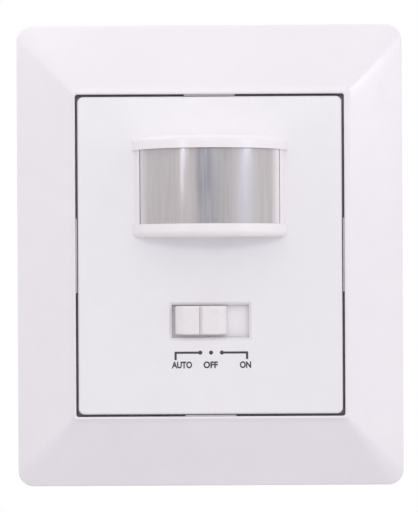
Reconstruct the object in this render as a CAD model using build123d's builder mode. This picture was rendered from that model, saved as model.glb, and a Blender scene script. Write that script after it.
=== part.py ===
from build123d import *

import os

os.makedirs("parts", exist_ok=True)

# Motion sensor light switch, flush mounted. All sizes are in millimetres.
# The wall is the plane Y = 0, the switch faces -Y, +X is to the right as seen
# from the front and +Z is up. A height is a distance in front of the wall, and
# what lies inside the wall box has a negative height.

# Clearances and cutters
seat_gap = 0.05
slide_gap = 0.1
pivot_gap = 0.06
overrun = 1.0

# Outer frame
frame_overlap = 5.0
frame_height = 95.6
frame_corner_radius = 3.2
frame_edge_height = 2.3
frame_edge_round = 0.5
frame_wall = 1.8
frame_roof = 2.7
face_height = 9.0
opening_width = 55.0
opening_height = 65.9
opening_corner_radius = 0.4
opening_land = 0.35
collar_wall = 1.5
seat_height = 5.0
flange_thickness = 1.2
flange_reach = 3.0
stiffener_thickness = 1.0
stiffener_offset_share = 0.55
centring_rib_reach = 0.3
centring_rib_setback = 0.8
centring_rib_top_share = 0.13
centring_rib_side_share = 0.19

# Front plate
plate_gap = 0.5
plate_thickness = 1.8
plate_corner_radius = 1.2
plate_edge_chamfer = 0.3
skirt_wall = 1.5

# Hood of the sensor: two brims joined by side posts
hood_width = 31.8
hood_reach = 12.0
brim_thickness = 2.65
brim_round = 1.2
post_setback = 0.65
lens_opening_width = 28.5
lens_opening_height = 15.1
lens_centre_share = 0.211

# Lens
lens_clearance = 0.1
lens_reach = 11.2
lens_shoulder = 3.2
lens_wall = 0.7
lens_flange_margin = 2.2
lens_flange_thickness = 0.8
flute_count = 9
flute_radius = 1.0
flute_depth = 0.2
flute_spread_angle = 88
retainer_margin = 3.4

# Slide window, knob and slide switch
window_width = 15.7
window_height = 6.7
window_chamfer = 0.55
window_z = -13.5
slide_pitch = 2.0
slide_positions = 3
slide_centre_x = 0.1
slide_centre_z = -13.25
knob_width = 10.6
knob_height = 5.9
knob_rise = 1.2
knob_bevel_width = 1.7
knob_bevel_drop = 1.15
knob_groove_width = 1.0
knob_groove_floor = 0.5
knob_groove_depth = 0.8
knob_round = 0.45
knob_flange_thickness = 0.9
knob_flange_overlap = 0.45
knob_rail_thickness = 0.8
switch_width = 9.0
switch_depth = 4.6
switch_height = 3.5
switch_wall = 0.3
switch_base_thickness = 1.1
actuator_width = 2.6
actuator_post = 1.6
actuator_post_rise = 2.5

# Front chassis
chassis_inset = 1.5
chassis_plate = 1.5
chassis_wall = 1.0
chassis_corner_radius = 2.0
chassis_opening_margin = 0.7
hook_width = 6.0
hook_thickness = 1.2
hook_barb = 0.7
hook_z_share = 0.3

# Mounting bracket of sheet steel
bracket_margin = 5.0
bracket_height = 70.0
bracket_thickness = 1.0
bracket_corner_radius = 6.0
box_screw_pitch = 60.0
slot_width = 4.0
slot_length = 7.0
corner_hole_diameter = 4.0
bracket_hole_z_share = 0.43

# Rear housing
housing_depth = 26.0
side_margin = 3.1
top_margin = 2.8
part_gap = 2.8
row_gap = 3.9
housing_corner_radius = 8.0
housing_wall = 1.5
housing_flange = 1.2
housing_clearance = 0.3
step_margin = 2.15
ledge_width = 1.5
ledge_reach = 1.0
ledge_z_share = 0.2

# Screws of chassis, housing and bracket
screw_diameter = 2.5
screw_head_diameter = 4.5
screw_head_height = 1.2
screw_boss_diameter = 6.5
screw_x_share = 0.4
screw_z_share = 0.43
screw_slot_width = 0.6
screw_slot_depth = 0.5

# Boards
board_thickness = 1.2
board_gap = 3.0
board_clearance = 0.3
board_front_height = 2.0
post_size = 3.2
post_x_share = 0.42
post_z_share = 0.36
header_width = 12.7
header_depth = 2.5

# Heat sensor, its holder and the small parts beside it
sensor_diameter = 8.2
sensor_height = 4.1
sensor_wall = 0.3
sensor_rim = 0.5
sensor_rim_height = 0.4
sensor_window_width = 4.0
sensor_window_height = 3.2
sensor_base_thickness = 0.9
holder_size = 11.0
holder_height = 2.8
holder_bore = 6.0
holder_corner_radius = 0.9
sensor_lead_circle_share = 0.33
sensor_lead_count = 3
side_part_x = 9.5
led_diameter = 3.0
led_height = 4.6
led_rim = 0.4
led_rim_height = 0.9
led_dome_share = 0.5
chip_width = 8.7
chip_height = 4.0
chip_thickness = 1.4
chip_lead_count = 5
chip_lead_pitch = 1.6
chip_lead_width = 0.4
chip_lead_reach = 0.8
chip_x = 0.0
chip_z = -4.0

# Trimmers for time and light level
trimmer_size = 6.6
trimmer_height = 2.6
trimmer_floor = 0.5
trimmer_x = 14.5
trimmer_z = -3.0
rotor_diameter = 4.6
rotor_rise = 0.4
rotor_slot_width = 0.8
rotor_slot_depth = 0.8

# Power parts, which stand on the back of the power board
relay_width = 19.0
relay_height = 15.0
relay_depth = 15.3
relay_round = 0.8
film_capacitor_width = 17.0
film_capacitor_height = 7.0
film_capacitor_depth = 12.0
can_diameter = 8.0
can_length = 14.0
can_groove_height = 2.0
can_groove_width = 1.2
can_groove_depth = 0.35
varistor_diameter = 7.5
varistor_thickness = 3.6
varistor_chamfer = 0.8
lead_width = 0.8
fuse_diameter = 4.2
fuse_length = 10.0
fuse_cap_length = 2.4
fuse_cap_reach = 0.2
resistor_diameter = 4.0
resistor_length = 8.0
diode_diameter = 2.6
diode_length = 5.0
diode_pitch = 3.4
diode_count = 4
lying_part_rise = 1.2

# Terminals
terminal_count = 3
terminal_pitch = 10.5
terminal_block_height = 8.8
terminal_end_wall = 2.4
terminal_front_wall = 3.55
clamp_width = 6.4
clamp_length = 7.0
clamp_wall = 1.1
wire_hole_diameter = 3.6
terminal_screw_diameter = 3.0
terminal_head_diameter = 5.2
terminal_head_height = 2.0

# Heights and outlines that several pieces share
bracket_width = box_screw_pitch + 2 * bracket_margin
frame_width = bracket_width + 2 * frame_overlap
flange_top = seat_height + flange_thickness
plate_back = face_height - plate_thickness
plate_width = opening_width - 2 * plate_gap
plate_height = opening_height - 2 * plate_gap
flange_opening_width = opening_width - 2 * flange_reach
flange_opening_height = opening_height - 2 * flange_reach
chassis_width = opening_width - 2 * chassis_inset
chassis_height = opening_height - 2 * chassis_inset
housing_flange_top = bracket_thickness + housing_flange
chassis_back = seat_height - chassis_plate
lens_centre_z = lens_centre_share * opening_height
hood_height = lens_opening_height + 2 * brim_thickness
hood_bottom_z = lens_centre_z - hood_height / 2
lens_bottom_z = lens_centre_z - lens_opening_height / 2
board_back_height = board_front_height - board_thickness
power_board_front = board_back_height - board_gap
power_board_back = power_board_front - board_thickness
housing_inner_width = relay_width + part_gap + film_capacitor_width + 2 * side_margin
fuse_outer = fuse_diameter + 2 * fuse_cap_reach
housing_inner_height = (
    top_margin + relay_height + 2 * row_gap + fuse_outer + terminal_block_height + seat_gap
)
housing_width = housing_inner_width + 2 * housing_wall
housing_height = housing_inner_height + 2 * housing_wall
housing_inner_radius = housing_corner_radius - housing_wall
board_width = housing_inner_width - 2 * board_clearance
board_height = housing_inner_height - 2 * board_clearance
board_radius = housing_inner_radius - board_clearance
slide_travel = (slide_positions - 1) * slide_pitch
knob_rest_x = slide_centre_x - slide_travel / 2
trimmer_places = {"lux": (-trimmer_x, trimmer_z), "time": (trimmer_x, trimmer_z)}
screw_places = GridLocations(
    2 * screw_x_share * chassis_width, 2 * screw_z_share * chassis_height, 2, 2
)


def at_height(height):
    """Return the plane parallel to the wall at a height, facing the room."""
    return Plane.XZ.offset(height)


# Outer frame: the space behind its four faces, as the core of the mould has it
with BuildPart() as frame_core:
    with BuildSketch(at_height(0)):
        Rectangle(frame_width - 2 * frame_wall, frame_height - 2 * frame_wall)
    extrude(amount=frame_edge_height / 2)
    with BuildSketch(at_height(frame_edge_height / 2)):
        Rectangle(frame_width - 2 * frame_wall, frame_height - 2 * frame_wall)
    with BuildSketch(at_height(face_height - frame_roof)):
        Rectangle(opening_width + 2 * collar_wall, opening_height + 2 * collar_wall)
    loft(ruled=True)
    # Stiffening ribs stand clear of the bracket
    with BuildSketch(at_height(bracket_thickness + stiffener_thickness)):
        with GridLocations(opening_width * stiffener_offset_share, 0, 2, 1):
            Rectangle(stiffener_thickness, frame_height)
        with GridLocations(0, opening_height * stiffener_offset_share, 1, 2):
            Rectangle(frame_width, stiffener_thickness)
    extrude(amount=face_height, mode=Mode.SUBTRACT)
    # The collar round the opening starts at the seat on the chassis
    with BuildSketch(at_height(seat_height)):
        Rectangle(opening_width + 2 * collar_wall, opening_height + 2 * collar_wall)
    extrude(amount=face_height, mode=Mode.SUBTRACT)
    with BuildSketch(at_height(0)):
        Rectangle(opening_width + 2 * collar_wall, opening_height + 2 * collar_wall)
    extrude(amount=seat_height)

with BuildPart() as outer_frame:
    # Upright edge, then four mitred faces that rise to the level land
    with BuildSketch(at_height(0)):
        RectangleRounded(frame_width, frame_height, frame_corner_radius)
    extrude(amount=frame_edge_height)
    with BuildSketch(at_height(frame_edge_height)):
        RectangleRounded(frame_width, frame_height, frame_corner_radius)
    with BuildSketch(at_height(face_height)):
        RectangleRounded(
            opening_width + 2 * opening_land,
            opening_height + 2 * opening_land,
            opening_corner_radius + opening_land,
        )
    loft(ruled=True)
    fillet(outer_frame.edges().group_by(Axis.Y)[2], frame_edge_round)
    add(frame_core.part, mode=Mode.SUBTRACT)
    # Opening for the plate down to the flange, and the smaller one through it
    with BuildSketch(at_height(flange_top)):
        RectangleRounded(opening_width, opening_height, opening_corner_radius)
    extrude(amount=face_height, mode=Mode.SUBTRACT)
    with BuildSketch(at_height(-overrun)):
        Rectangle(flange_opening_width, flange_opening_height)
    extrude(amount=face_height + overrun, mode=Mode.SUBTRACT)
    # Centring ribs in the middle of each side keep the gap even
    with BuildSketch(at_height(flange_top)):
        with GridLocations(0, opening_height, 1, 2):
            Rectangle(frame_width * centring_rib_top_share, 2 * centring_rib_reach)
        with GridLocations(opening_width, 0, 2, 1):
            Rectangle(2 * centring_rib_reach, frame_width * centring_rib_side_share)
    extrude(amount=face_height - centring_rib_setback - flange_top)

outer_frame.part.label = "outer_frame"
export_step(outer_frame.part, "parts/outer_frame.step")

# Front plate: skirt on the frame's flange, slide window, hood and snap hooks
knob_flange_front = plate_back - slide_gap
knob_flange_back = knob_flange_front - knob_flange_thickness
knob_flange_height = window_height + 2 * knob_flange_overlap
knob_flange_width = window_width + slide_travel + 2 * knob_flange_overlap
rail_pitch = knob_flange_height + 2 * slide_gap + knob_rail_thickness
hook_tip_x = chassis_width / 2 - chassis_wall - slide_gap
hook_outer_x = hook_tip_x - hook_barb
hook_inner_x = hook_outer_x - hook_thickness
hook_catch_height = chassis_back - seat_gap
hook_end_height = housing_flange_top + slide_gap
hook_z = hook_z_share * plate_height

with BuildPart() as front_plate:
    with BuildSketch(at_height(flange_top)):
        RectangleRounded(plate_width, plate_height, plate_corner_radius)
    extrude(amount=face_height - flange_top)
    chamfer(front_plate.faces().sort_by(Axis.Y)[0].edges(), plate_edge_chamfer)
    with BuildSketch(at_height(flange_top)):
        Rectangle(plate_width - 2 * skirt_wall, plate_height - 2 * skirt_wall)
    extrude(amount=plate_back - flange_top, mode=Mode.SUBTRACT)
    # Slide window with a chamfered mouth
    with BuildSketch(at_height(plate_back)):
        with Locations((0, window_z)):
            Rectangle(window_width, window_height)
    extrude(amount=plate_thickness, mode=Mode.SUBTRACT)
    chamfer(front_plate.faces().sort_by(Axis.Y)[0].inner_wires()[0].edges(), window_chamfer)
    # Rails behind the window guide the knob's flange
    with BuildSketch(at_height(knob_flange_back)):
        with Locations((slide_centre_x, slide_centre_z)):
            with GridLocations(0, rail_pitch, 1, 2):
                Rectangle(knob_flange_width + slide_travel, knob_rail_thickness)
    extrude(amount=plate_back - knob_flange_back)
    # Hood: a segment of a disc that stands out from the plate
    with BuildSketch(Plane.XY.offset(hood_bottom_z)):
        with BuildLine():
            ThreePointArc(
                (-hood_width / 2, -face_height),
                (0, -face_height - hood_reach),
                (hood_width / 2, -face_height),
            )
            Polyline(
                (hood_width / 2, -face_height),
                (hood_width / 2, -plate_back),
                (-hood_width / 2, -plate_back),
                (-hood_width / 2, -face_height),
            )
        make_face()
    extrude(amount=hood_height)
    brim_rims = front_plate.edges().filter_by(GeomType.CIRCLE).sort_by(Axis.Y)[:2]
    fillet(brim_rims, brim_round)
    # The posts between the brims stand back from the brims' curve
    with BuildSketch(Plane.XY.offset(lens_bottom_z)):
        with BuildLine():
            ThreePointArc(
                (-hood_width / 2 - post_setback, -face_height),
                (0, -face_height - hood_reach - post_setback),
                (hood_width / 2 + post_setback, -face_height),
            )
            Line(
                (hood_width / 2 + post_setback, -face_height),
                (hood_width / 2 - post_setback, -face_height),
            )
            ThreePointArc(
                (hood_width / 2 - post_setback, -face_height),
                (0, -face_height - hood_reach + post_setback),
                (-hood_width / 2 + post_setback, -face_height),
            )
            Line(
                (-hood_width / 2 + post_setback, -face_height),
                (-hood_width / 2 - post_setback, -face_height),
            )
        make_face()
    extrude(amount=lens_opening_height, mode=Mode.SUBTRACT)
    # Mouth between the brims, which leaves a post at each side of the lens
    with BuildSketch(at_height(flange_top)):
        with Locations((0, lens_centre_z)):
            Rectangle(lens_opening_width, lens_opening_height)
    extrude(amount=face_height + hood_reach, mode=Mode.SUBTRACT)
    # Snap hooks reach through the frame and catch behind the chassis
    for side in (-1, 1):
        for middle_z in (-hook_z, hook_z):
            with BuildSketch(Plane.XY.offset(middle_z - hook_width / 2)):
                with BuildLine():
                    Polyline(
                        (side * hook_inner_x, -plate_back),
                        (side * hook_inner_x, -hook_end_height),
                        (side * hook_outer_x, -hook_end_height),
                        (side * hook_tip_x, -(hook_end_height + hook_catch_height) / 2),
                        (side * hook_tip_x, -hook_catch_height),
                        (side * hook_outer_x, -hook_catch_height),
                        (side * hook_outer_x, -plate_back),
                        close=True,
                    )
                make_face()
            extrude(amount=hook_width)

front_plate.part.label = "front_plate"
export_step(front_plate.part, "parts/front_plate.step")


# Lens: a curved hollow cap on a flange behind the plate, fluted inside
lens_half_width = lens_opening_width / 2 - lens_clearance
lens_cap_bottom_z = lens_bottom_z + lens_clearance
lens_cap_height = lens_opening_height - 2 * lens_clearance
lens_flange_back = plate_back - lens_flange_thickness
lens_inner_half_width = lens_half_width - lens_wall
lens_shoulder_height = face_height + lens_shoulder
lens_front = face_height + lens_reach
lens_sag = lens_reach - lens_shoulder - lens_wall
lens_inner_radius = (lens_inner_half_width**2 + lens_sag**2) / (2 * lens_sag)
lens_inner_centre_height = lens_front - lens_wall - lens_inner_radius

with BuildPart() as fresnel_lens:
    with BuildSketch(at_height(lens_flange_back)):
        with Locations((0, lens_centre_z)):
            Rectangle(
                lens_opening_width + 2 * lens_flange_margin,
                lens_opening_height + 2 * lens_flange_margin,
            )
    extrude(amount=lens_flange_thickness)
    with BuildSketch(Plane.XY.offset(lens_cap_bottom_z)):
        with BuildLine():
            ThreePointArc(
                (-lens_half_width, -lens_shoulder_height),
                (0, -lens_front),
                (lens_half_width, -lens_shoulder_height),
            )
            Polyline(
                (lens_half_width, -lens_shoulder_height),
                (lens_half_width, -plate_back),
                (-lens_half_width, -plate_back),
                (-lens_half_width, -lens_shoulder_height),
            )
        make_face()
    extrude(amount=lens_cap_height)
    with BuildSketch(Plane.XY.offset(lens_cap_bottom_z + lens_wall)):
        with BuildLine():
            ThreePointArc(
                (-lens_inner_half_width, -lens_shoulder_height),
                (0, lens_wall - lens_front),
                (lens_inner_half_width, -lens_shoulder_height),
            )
            Polyline(
                (lens_inner_half_width, -lens_shoulder_height),
                (lens_inner_half_width, -seat_height),
                (-lens_inner_half_width, -seat_height),
                (-lens_inner_half_width, -lens_shoulder_height),
            )
        make_face()
        with Locations((0, -lens_inner_centre_height)):
            with PolarLocations(
                lens_inner_radius - flute_radius + flute_depth,
                flute_count,
                start_angle=-90 - flute_spread_angle / 2,
                angular_range=flute_spread_angle,
                endpoint=True,
            ):
                Circle(flute_radius)
    extrude(amount=lens_cap_height - 2 * lens_wall, mode=Mode.SUBTRACT)

fresnel_lens.part.label = "fresnel_lens"
export_step(fresnel_lens.part, "parts/fresnel_lens.step")


# Lens retainer: a ring on the chassis that holds the lens flange to the plate
with BuildPart() as lens_retainer:
    with BuildSketch(at_height(seat_height)):
        with Locations((0, lens_centre_z)):
            RectangleRounded(
                lens_opening_width + 2 * retainer_margin,
                lens_opening_height + 2 * retainer_margin,
                retainer_margin / 2,
            )
            Rectangle(lens_opening_width, lens_opening_height, mode=Mode.SUBTRACT)
    extrude(amount=lens_flange_back - seat_height)

lens_retainer.part.label = "lens_retainer"
export_step(lens_retainer.part, "parts/lens_retainer.step")


# Slider knob: bevelled ends, a groove across the middle and a covering flange
knob_front = face_height + knob_rise
actuator_top = board_front_height + switch_height + actuator_post_rise
knob_half = knob_width / 2

with BuildPart() as slider_knob:
    with BuildSketch(Plane.XY.offset(slide_centre_z - knob_height / 2)):
        with BuildLine():
            Polyline(
                (knob_rest_x - knob_half, -knob_flange_front),
                (knob_rest_x - knob_half, -knob_front + knob_bevel_drop),
                (knob_rest_x - knob_half + knob_bevel_width, -knob_front),
                (knob_rest_x - knob_groove_width / 2, -knob_front),
                (knob_rest_x - knob_groove_floor / 2, -knob_front + knob_groove_depth),
                (knob_rest_x + knob_groove_floor / 2, -knob_front + knob_groove_depth),
                (knob_rest_x + knob_groove_width / 2, -knob_front),
                (knob_rest_x + knob_half - knob_bevel_width, -knob_front),
                (knob_rest_x + knob_half, -knob_front + knob_bevel_drop),
                (knob_rest_x + knob_half, -knob_flange_front),
                close=True,
            )
        make_face()
    extrude(amount=knob_height)
    fillet(slider_knob.edges().filter_by(Axis.Y), knob_round)
    with BuildSketch(at_height(knob_flange_back)):
        with Locations((knob_rest_x, slide_centre_z)):
            Rectangle(knob_flange_width, knob_flange_height)
    extrude(amount=knob_flange_thickness)
    with BuildSketch(at_height(knob_flange_back)):
        with Locations((knob_rest_x, slide_centre_z)):
            Rectangle(actuator_post + slide_gap, actuator_post + slide_gap)
    extrude(amount=actuator_top + slide_gap - knob_flange_back, mode=Mode.SUBTRACT)

slider_knob.part.label = "slider_knob"
export_step(slider_knob.part, "parts/slider_knob.step")


# Front chassis: a shallow tray on the housing's flange. Its plate has openings
# for what stands on the sensor board, and slots for the plate's hooks
side_opening_width = 2 * (side_part_x + led_diameter / 2 + led_rim + chassis_opening_margin)
trimmer_opening = trimmer_size + 2 * chassis_opening_margin

with BuildPart() as front_chassis:
    with BuildSketch(at_height(housing_flange_top)):
        RectangleRounded(chassis_width, chassis_height, chassis_corner_radius)
    extrude(amount=seat_height - housing_flange_top)
    with BuildSketch(at_height(housing_flange_top)):
        RectangleRounded(
            chassis_width - 2 * chassis_wall,
            chassis_height - 2 * chassis_wall,
            chassis_corner_radius - chassis_wall / 2,
        )
    extrude(amount=chassis_back - housing_flange_top, mode=Mode.SUBTRACT)
    with BuildSketch(at_height(housing_flange_top)):
        with screw_places:
            Circle(screw_boss_diameter / 2)
    extrude(amount=chassis_back - housing_flange_top)
    with BuildSketch(at_height(board_front_height)):
        with GridLocations(
            2 * post_x_share * board_width, 2 * post_z_share * board_height, 2, 2
        ):
            Rectangle(post_size, post_size)
    extrude(amount=chassis_back - board_front_height)
    with BuildSketch(at_height(chassis_back)):
        with Locations((0, lens_centre_z)):
            Rectangle(side_opening_width, holder_size + 2 * chassis_opening_margin)
        with Locations((slide_centre_x, slide_centre_z)):
            Rectangle(
                switch_width + 2 * chassis_opening_margin,
                switch_depth + 2 * chassis_opening_margin,
            )
        with Locations(*trimmer_places.values()):
            Rectangle(trimmer_opening, trimmer_opening)
        with GridLocations(hook_inner_x + hook_outer_x, 2 * hook_z, 2, 2):
            Rectangle(hook_thickness + 2 * slide_gap, hook_width + 2 * chassis_opening_margin)
    extrude(amount=chassis_plate, mode=Mode.SUBTRACT)
    with BuildSketch(at_height(housing_flange_top)):
        with screw_places:
            Circle(screw_diameter / 2 + seat_gap)
    extrude(amount=seat_height - housing_flange_top, mode=Mode.SUBTRACT)
    with BuildSketch(at_height(seat_height - screw_head_height)):
        with screw_places:
            Circle(screw_head_diameter / 2 + slide_gap)
    extrude(amount=screw_head_height, mode=Mode.SUBTRACT)

front_chassis.part.label = "front_chassis"
export_step(front_chassis.part, "parts/front_chassis.step")


# Mounting bracket: sheet steel with two slots for the box screws
bracket_opening_width = housing_width + 2 * housing_clearance
bracket_opening_height = housing_height + 2 * housing_clearance

with BuildPart() as mounting_bracket:
    with BuildSketch(at_height(0)):
        RectangleRounded(bracket_width, bracket_height, bracket_corner_radius)
        RectangleRounded(
            bracket_opening_width,
            bracket_opening_height,
            housing_corner_radius + housing_clearance,
            mode=Mode.SUBTRACT,
        )
        with GridLocations(box_screw_pitch, 0, 2, 1):
            SlotOverall(slot_length, slot_width, mode=Mode.SUBTRACT)
        with GridLocations(box_screw_pitch, 2 * bracket_hole_z_share * bracket_height, 2, 2):
            Circle(corner_hole_diameter / 2, mode=Mode.SUBTRACT)
        with screw_places:
            Circle(screw_diameter / 2 + seat_gap, mode=Mode.SUBTRACT)
    extrude(amount=bracket_thickness)

mounting_bracket.part.label = "mounting_bracket"
export_step(mounting_bracket.part, "parts/mounting_bracket.step")


# Rear housing: a tub with a flange. Its lower back is stepped for the terminals
terminal_back = (
    power_board_back - terminal_front_wall - clamp_length - terminal_head_height
)
step_floor = terminal_back - seat_gap - housing_wall
step_height = housing_wall + seat_gap + terminal_block_height + step_margin
step_top_z = step_height - housing_height / 2
terminal_z = housing_wall + seat_gap + terminal_block_height / 2 - housing_height / 2
wire_height = terminal_back + terminal_head_height + clamp_length / 2
ledge_z = ledge_z_share * housing_height

with BuildPart() as housing_core:
    with BuildSketch(at_height(housing_flange_top + overrun)):
        RectangleRounded(housing_inner_width, housing_inner_height, housing_inner_radius)
    extrude(amount=housing_wall - housing_depth - housing_flange_top - overrun)
    with BuildSketch(at_height(step_floor + housing_wall)):
        with Locations((0, (step_top_z + housing_wall - housing_height / 2) / 2)):
            Rectangle(housing_width, step_height + housing_wall)
    extrude(amount=-housing_depth, mode=Mode.SUBTRACT)
    # Ledges on the side walls carry the power board
    with BuildSketch(at_height(power_board_back)):
        with GridLocations(housing_inner_width, 2 * ledge_z, 2, 2):
            Rectangle(2 * ledge_reach, ledge_width)
    extrude(amount=-housing_depth, mode=Mode.SUBTRACT)

with BuildPart() as rear_housing:
    with BuildSketch(at_height(bracket_thickness)):
        RectangleRounded(chassis_width, chassis_height, chassis_corner_radius)
    extrude(amount=housing_flange)
    with BuildSketch(at_height(bracket_thickness)):
        RectangleRounded(housing_width, housing_height, housing_corner_radius)
    extrude(amount=-housing_depth - bracket_thickness)
    with BuildSketch(at_height(step_floor)):
        with Locations((0, (step_top_z - housing_height / 2) / 2)):
            Rectangle(housing_width, step_height)
    extrude(amount=-housing_depth, mode=Mode.SUBTRACT)
    chamfer(rear_housing.edges().group_by(Axis.Y)[-1], housing_wall / 2)
    add(housing_core.part, mode=Mode.SUBTRACT)
    with BuildSketch(at_height(bracket_thickness)):
        with screw_places:
            Circle(screw_diameter / 2 + seat_gap)
    extrude(amount=housing_flange, mode=Mode.SUBTRACT)
    # Screwdriver holes over the terminals, and wire holes in the lower wall
    with BuildSketch(at_height(step_floor)):
        with Locations((0, terminal_z)):
            with GridLocations(terminal_pitch, 0, terminal_count, 1):
                Circle(terminal_head_diameter / 2 + slide_gap)
    extrude(amount=housing_wall, mode=Mode.SUBTRACT)
    with BuildSketch(Plane.XY.offset(-housing_height / 2)):
        with Locations((0, -wire_height)):
            with GridLocations(terminal_pitch, 0, terminal_count, 1):
                Circle(wire_hole_diameter / 2)
    extrude(amount=housing_wall, mode=Mode.SUBTRACT)

rear_housing.part.label = "rear_housing"
export_step(rear_housing.part, "parts/rear_housing.step")


# Four screws clamp chassis and housing to the bracket
with BuildPart() as housing_screws:
    with BuildSketch(at_height(0)):
        with screw_places:
            Circle(screw_diameter / 2)
    extrude(amount=seat_height - screw_head_height)
    with BuildSketch(at_height(seat_height - screw_head_height)):
        with screw_places:
            Circle(screw_head_diameter / 2)
    extrude(amount=screw_head_height)
    with BuildSketch(at_height(seat_height - screw_slot_depth)):
        with screw_places:
            Rectangle(screw_head_diameter, screw_slot_width)
    extrude(amount=screw_slot_depth, mode=Mode.SUBTRACT)

housing_screws.part.label = "housing_screws"
export_step(housing_screws.part, "parts/housing_screws.step")


def board(top_height):
    """Return a circuit board that fits the tub, with its front at a height."""
    with BuildPart() as plain_board:
        with BuildSketch(at_height(top_height - board_thickness)):
            RectangleRounded(board_width, board_height, board_radius)
        extrude(amount=board_thickness)
    return plain_board


sensor_board = board(board_front_height)
sensor_board.part.label = "sensor_board"
export_step(sensor_board.part, "parts/sensor_board.step")

power_board = board(power_board_front)
power_board.part.label = "power_board"
export_step(power_board.part, "parts/power_board.step")


# Header that joins the two boards
with BuildPart() as board_connector:
    with BuildSketch(at_height(power_board_front)):
        with Locations((0, board_height / 2 - 2 * header_depth)):
            Rectangle(header_width, header_depth)
    extrude(amount=board_gap)

board_connector.part.label = "board_connector"
export_step(board_connector.part, "parts/board_connector.step")


# Heat sensor: holder, base, can with a window, and the window's filter
holder_top = board_front_height + holder_height
sensor_top = holder_top + sensor_height
sensor_radius = sensor_diameter / 2

with BuildPart() as sensor_holder:
    with BuildSketch(at_height(board_front_height)):
        with Locations((0, lens_centre_z)):
            RectangleRounded(holder_size, holder_size, holder_corner_radius)
            Circle(holder_bore / 2, mode=Mode.SUBTRACT)
    extrude(amount=holder_height)
    # Posts at the four corners centre the can
    with BuildSketch(at_height(holder_top)):
        with Locations((0, lens_centre_z)):
            RectangleRounded(holder_size, holder_size, holder_corner_radius)
            Circle(sensor_radius + sensor_rim + slide_gap, mode=Mode.SUBTRACT)
            Rectangle(holder_size, sensor_diameter / 2, mode=Mode.SUBTRACT)
            Rectangle(sensor_diameter / 2, holder_size, mode=Mode.SUBTRACT)
    extrude(amount=sensor_base_thickness)

sensor_holder.part.label = "sensor_holder"
export_step(sensor_holder.part, "parts/sensor_holder.step")

with BuildPart() as pir_sensor_base:
    with BuildSketch(at_height(holder_top)):
        with Locations((0, lens_centre_z)):
            Circle(sensor_radius - sensor_wall - seat_gap)
    extrude(amount=sensor_base_thickness)
    # Three leads go down through the holder to the board
    with BuildSketch(at_height(board_front_height)):
        with Locations((0, lens_centre_z)):
            with PolarLocations(holder_bore * sensor_lead_circle_share, sensor_lead_count):
                Rectangle(lead_width, lead_width)
    extrude(amount=holder_height)

pir_sensor_base.part.label = "pir_sensor_base"
export_step(pir_sensor_base.part, "parts/pir_sensor_base.step")

with BuildPart() as pir_sensor_can:
    with BuildSketch(at_height(holder_top)):
        with Locations((0, lens_centre_z)):
            Circle(sensor_radius + sensor_rim)
    extrude(amount=sensor_rim_height)
    with BuildSketch(at_height(holder_top)):
        with Locations((0, lens_centre_z)):
            Circle(sensor_radius)
    extrude(amount=sensor_height)
    chamfer(pir_sensor_can.faces().sort_by(Axis.Y)[0].edges(), sensor_wall)
    with BuildSketch(at_height(holder_top)):
        with Locations((0, lens_centre_z)):
            Circle(sensor_radius - sensor_wall)
    extrude(amount=sensor_height - sensor_wall, mode=Mode.SUBTRACT)
    with BuildSketch(at_height(holder_top)):
        with Locations((0, lens_centre_z)):
            Rectangle(sensor_window_width, sensor_window_height)
    extrude(amount=sensor_height, mode=Mode.SUBTRACT)

pir_sensor_can.part.label = "pir_sensor_can"
export_step(pir_sensor_can.part, "parts/pir_sensor_can.step")

with BuildPart() as pir_window:
    with BuildSketch(at_height(sensor_top - 2 * sensor_wall)):
        with Locations((0, lens_centre_z)):
            Rectangle(
                sensor_window_width + sensor_base_thickness,
                sensor_window_height + sensor_base_thickness,
            )
    extrude(amount=sensor_wall)

pir_window.part.label = "pir_window"
export_step(pir_window.part, "parts/pir_window.step")


def domed_part(middle_x):
    """Return a round part with a rim and a tapered top, beside the heat sensor."""
    radius = led_diameter / 2
    with BuildPart() as domed:
        with BuildSketch(at_height(board_front_height)):
            with Locations((middle_x, lens_centre_z)):
                Circle(radius + led_rim)
        extrude(amount=led_rim_height)
        with BuildSketch(at_height(board_front_height)):
            with Locations((middle_x, lens_centre_z)):
                Circle(radius)
        extrude(amount=led_height)
        chamfer(domed.faces().sort_by(Axis.Y)[0].edges(), radius * led_dome_share)
    return domed


indicator_led = domed_part(-side_part_x)
indicator_led.part.label = "indicator_led"
export_step(indicator_led.part, "parts/indicator_led.step")

light_sensor = domed_part(side_part_x)
light_sensor.part.label = "light_sensor"
export_step(light_sensor.part, "parts/light_sensor.step")


# Detector chip, with its leads along both long sides
with BuildPart() as detector_chip:
    with BuildSketch(at_height(board_front_height)):
        with Locations((chip_x, chip_z)):
            Rectangle(chip_width, chip_height)
    extrude(amount=chip_thickness)
    with BuildSketch(at_height(board_front_height)):
        with Locations((chip_x, chip_z)):
            with GridLocations(chip_lead_pitch, 0, chip_lead_count, 1):
                Rectangle(chip_lead_width, chip_height + 2 * chip_lead_reach)
    extrude(amount=chip_thickness / 2)

detector_chip.part.label = "detector_chip"
export_step(detector_chip.part, "parts/detector_chip.step")


# Slide switch: base and shell on the board, and the actuator that the knob moves
switch_top = board_front_height + switch_height
switch_base_top = board_front_height + switch_base_thickness
actuator_depth = switch_depth - 2 * switch_wall - 2 * slide_gap
actuator_block_top = switch_top - switch_wall - slide_gap

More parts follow.
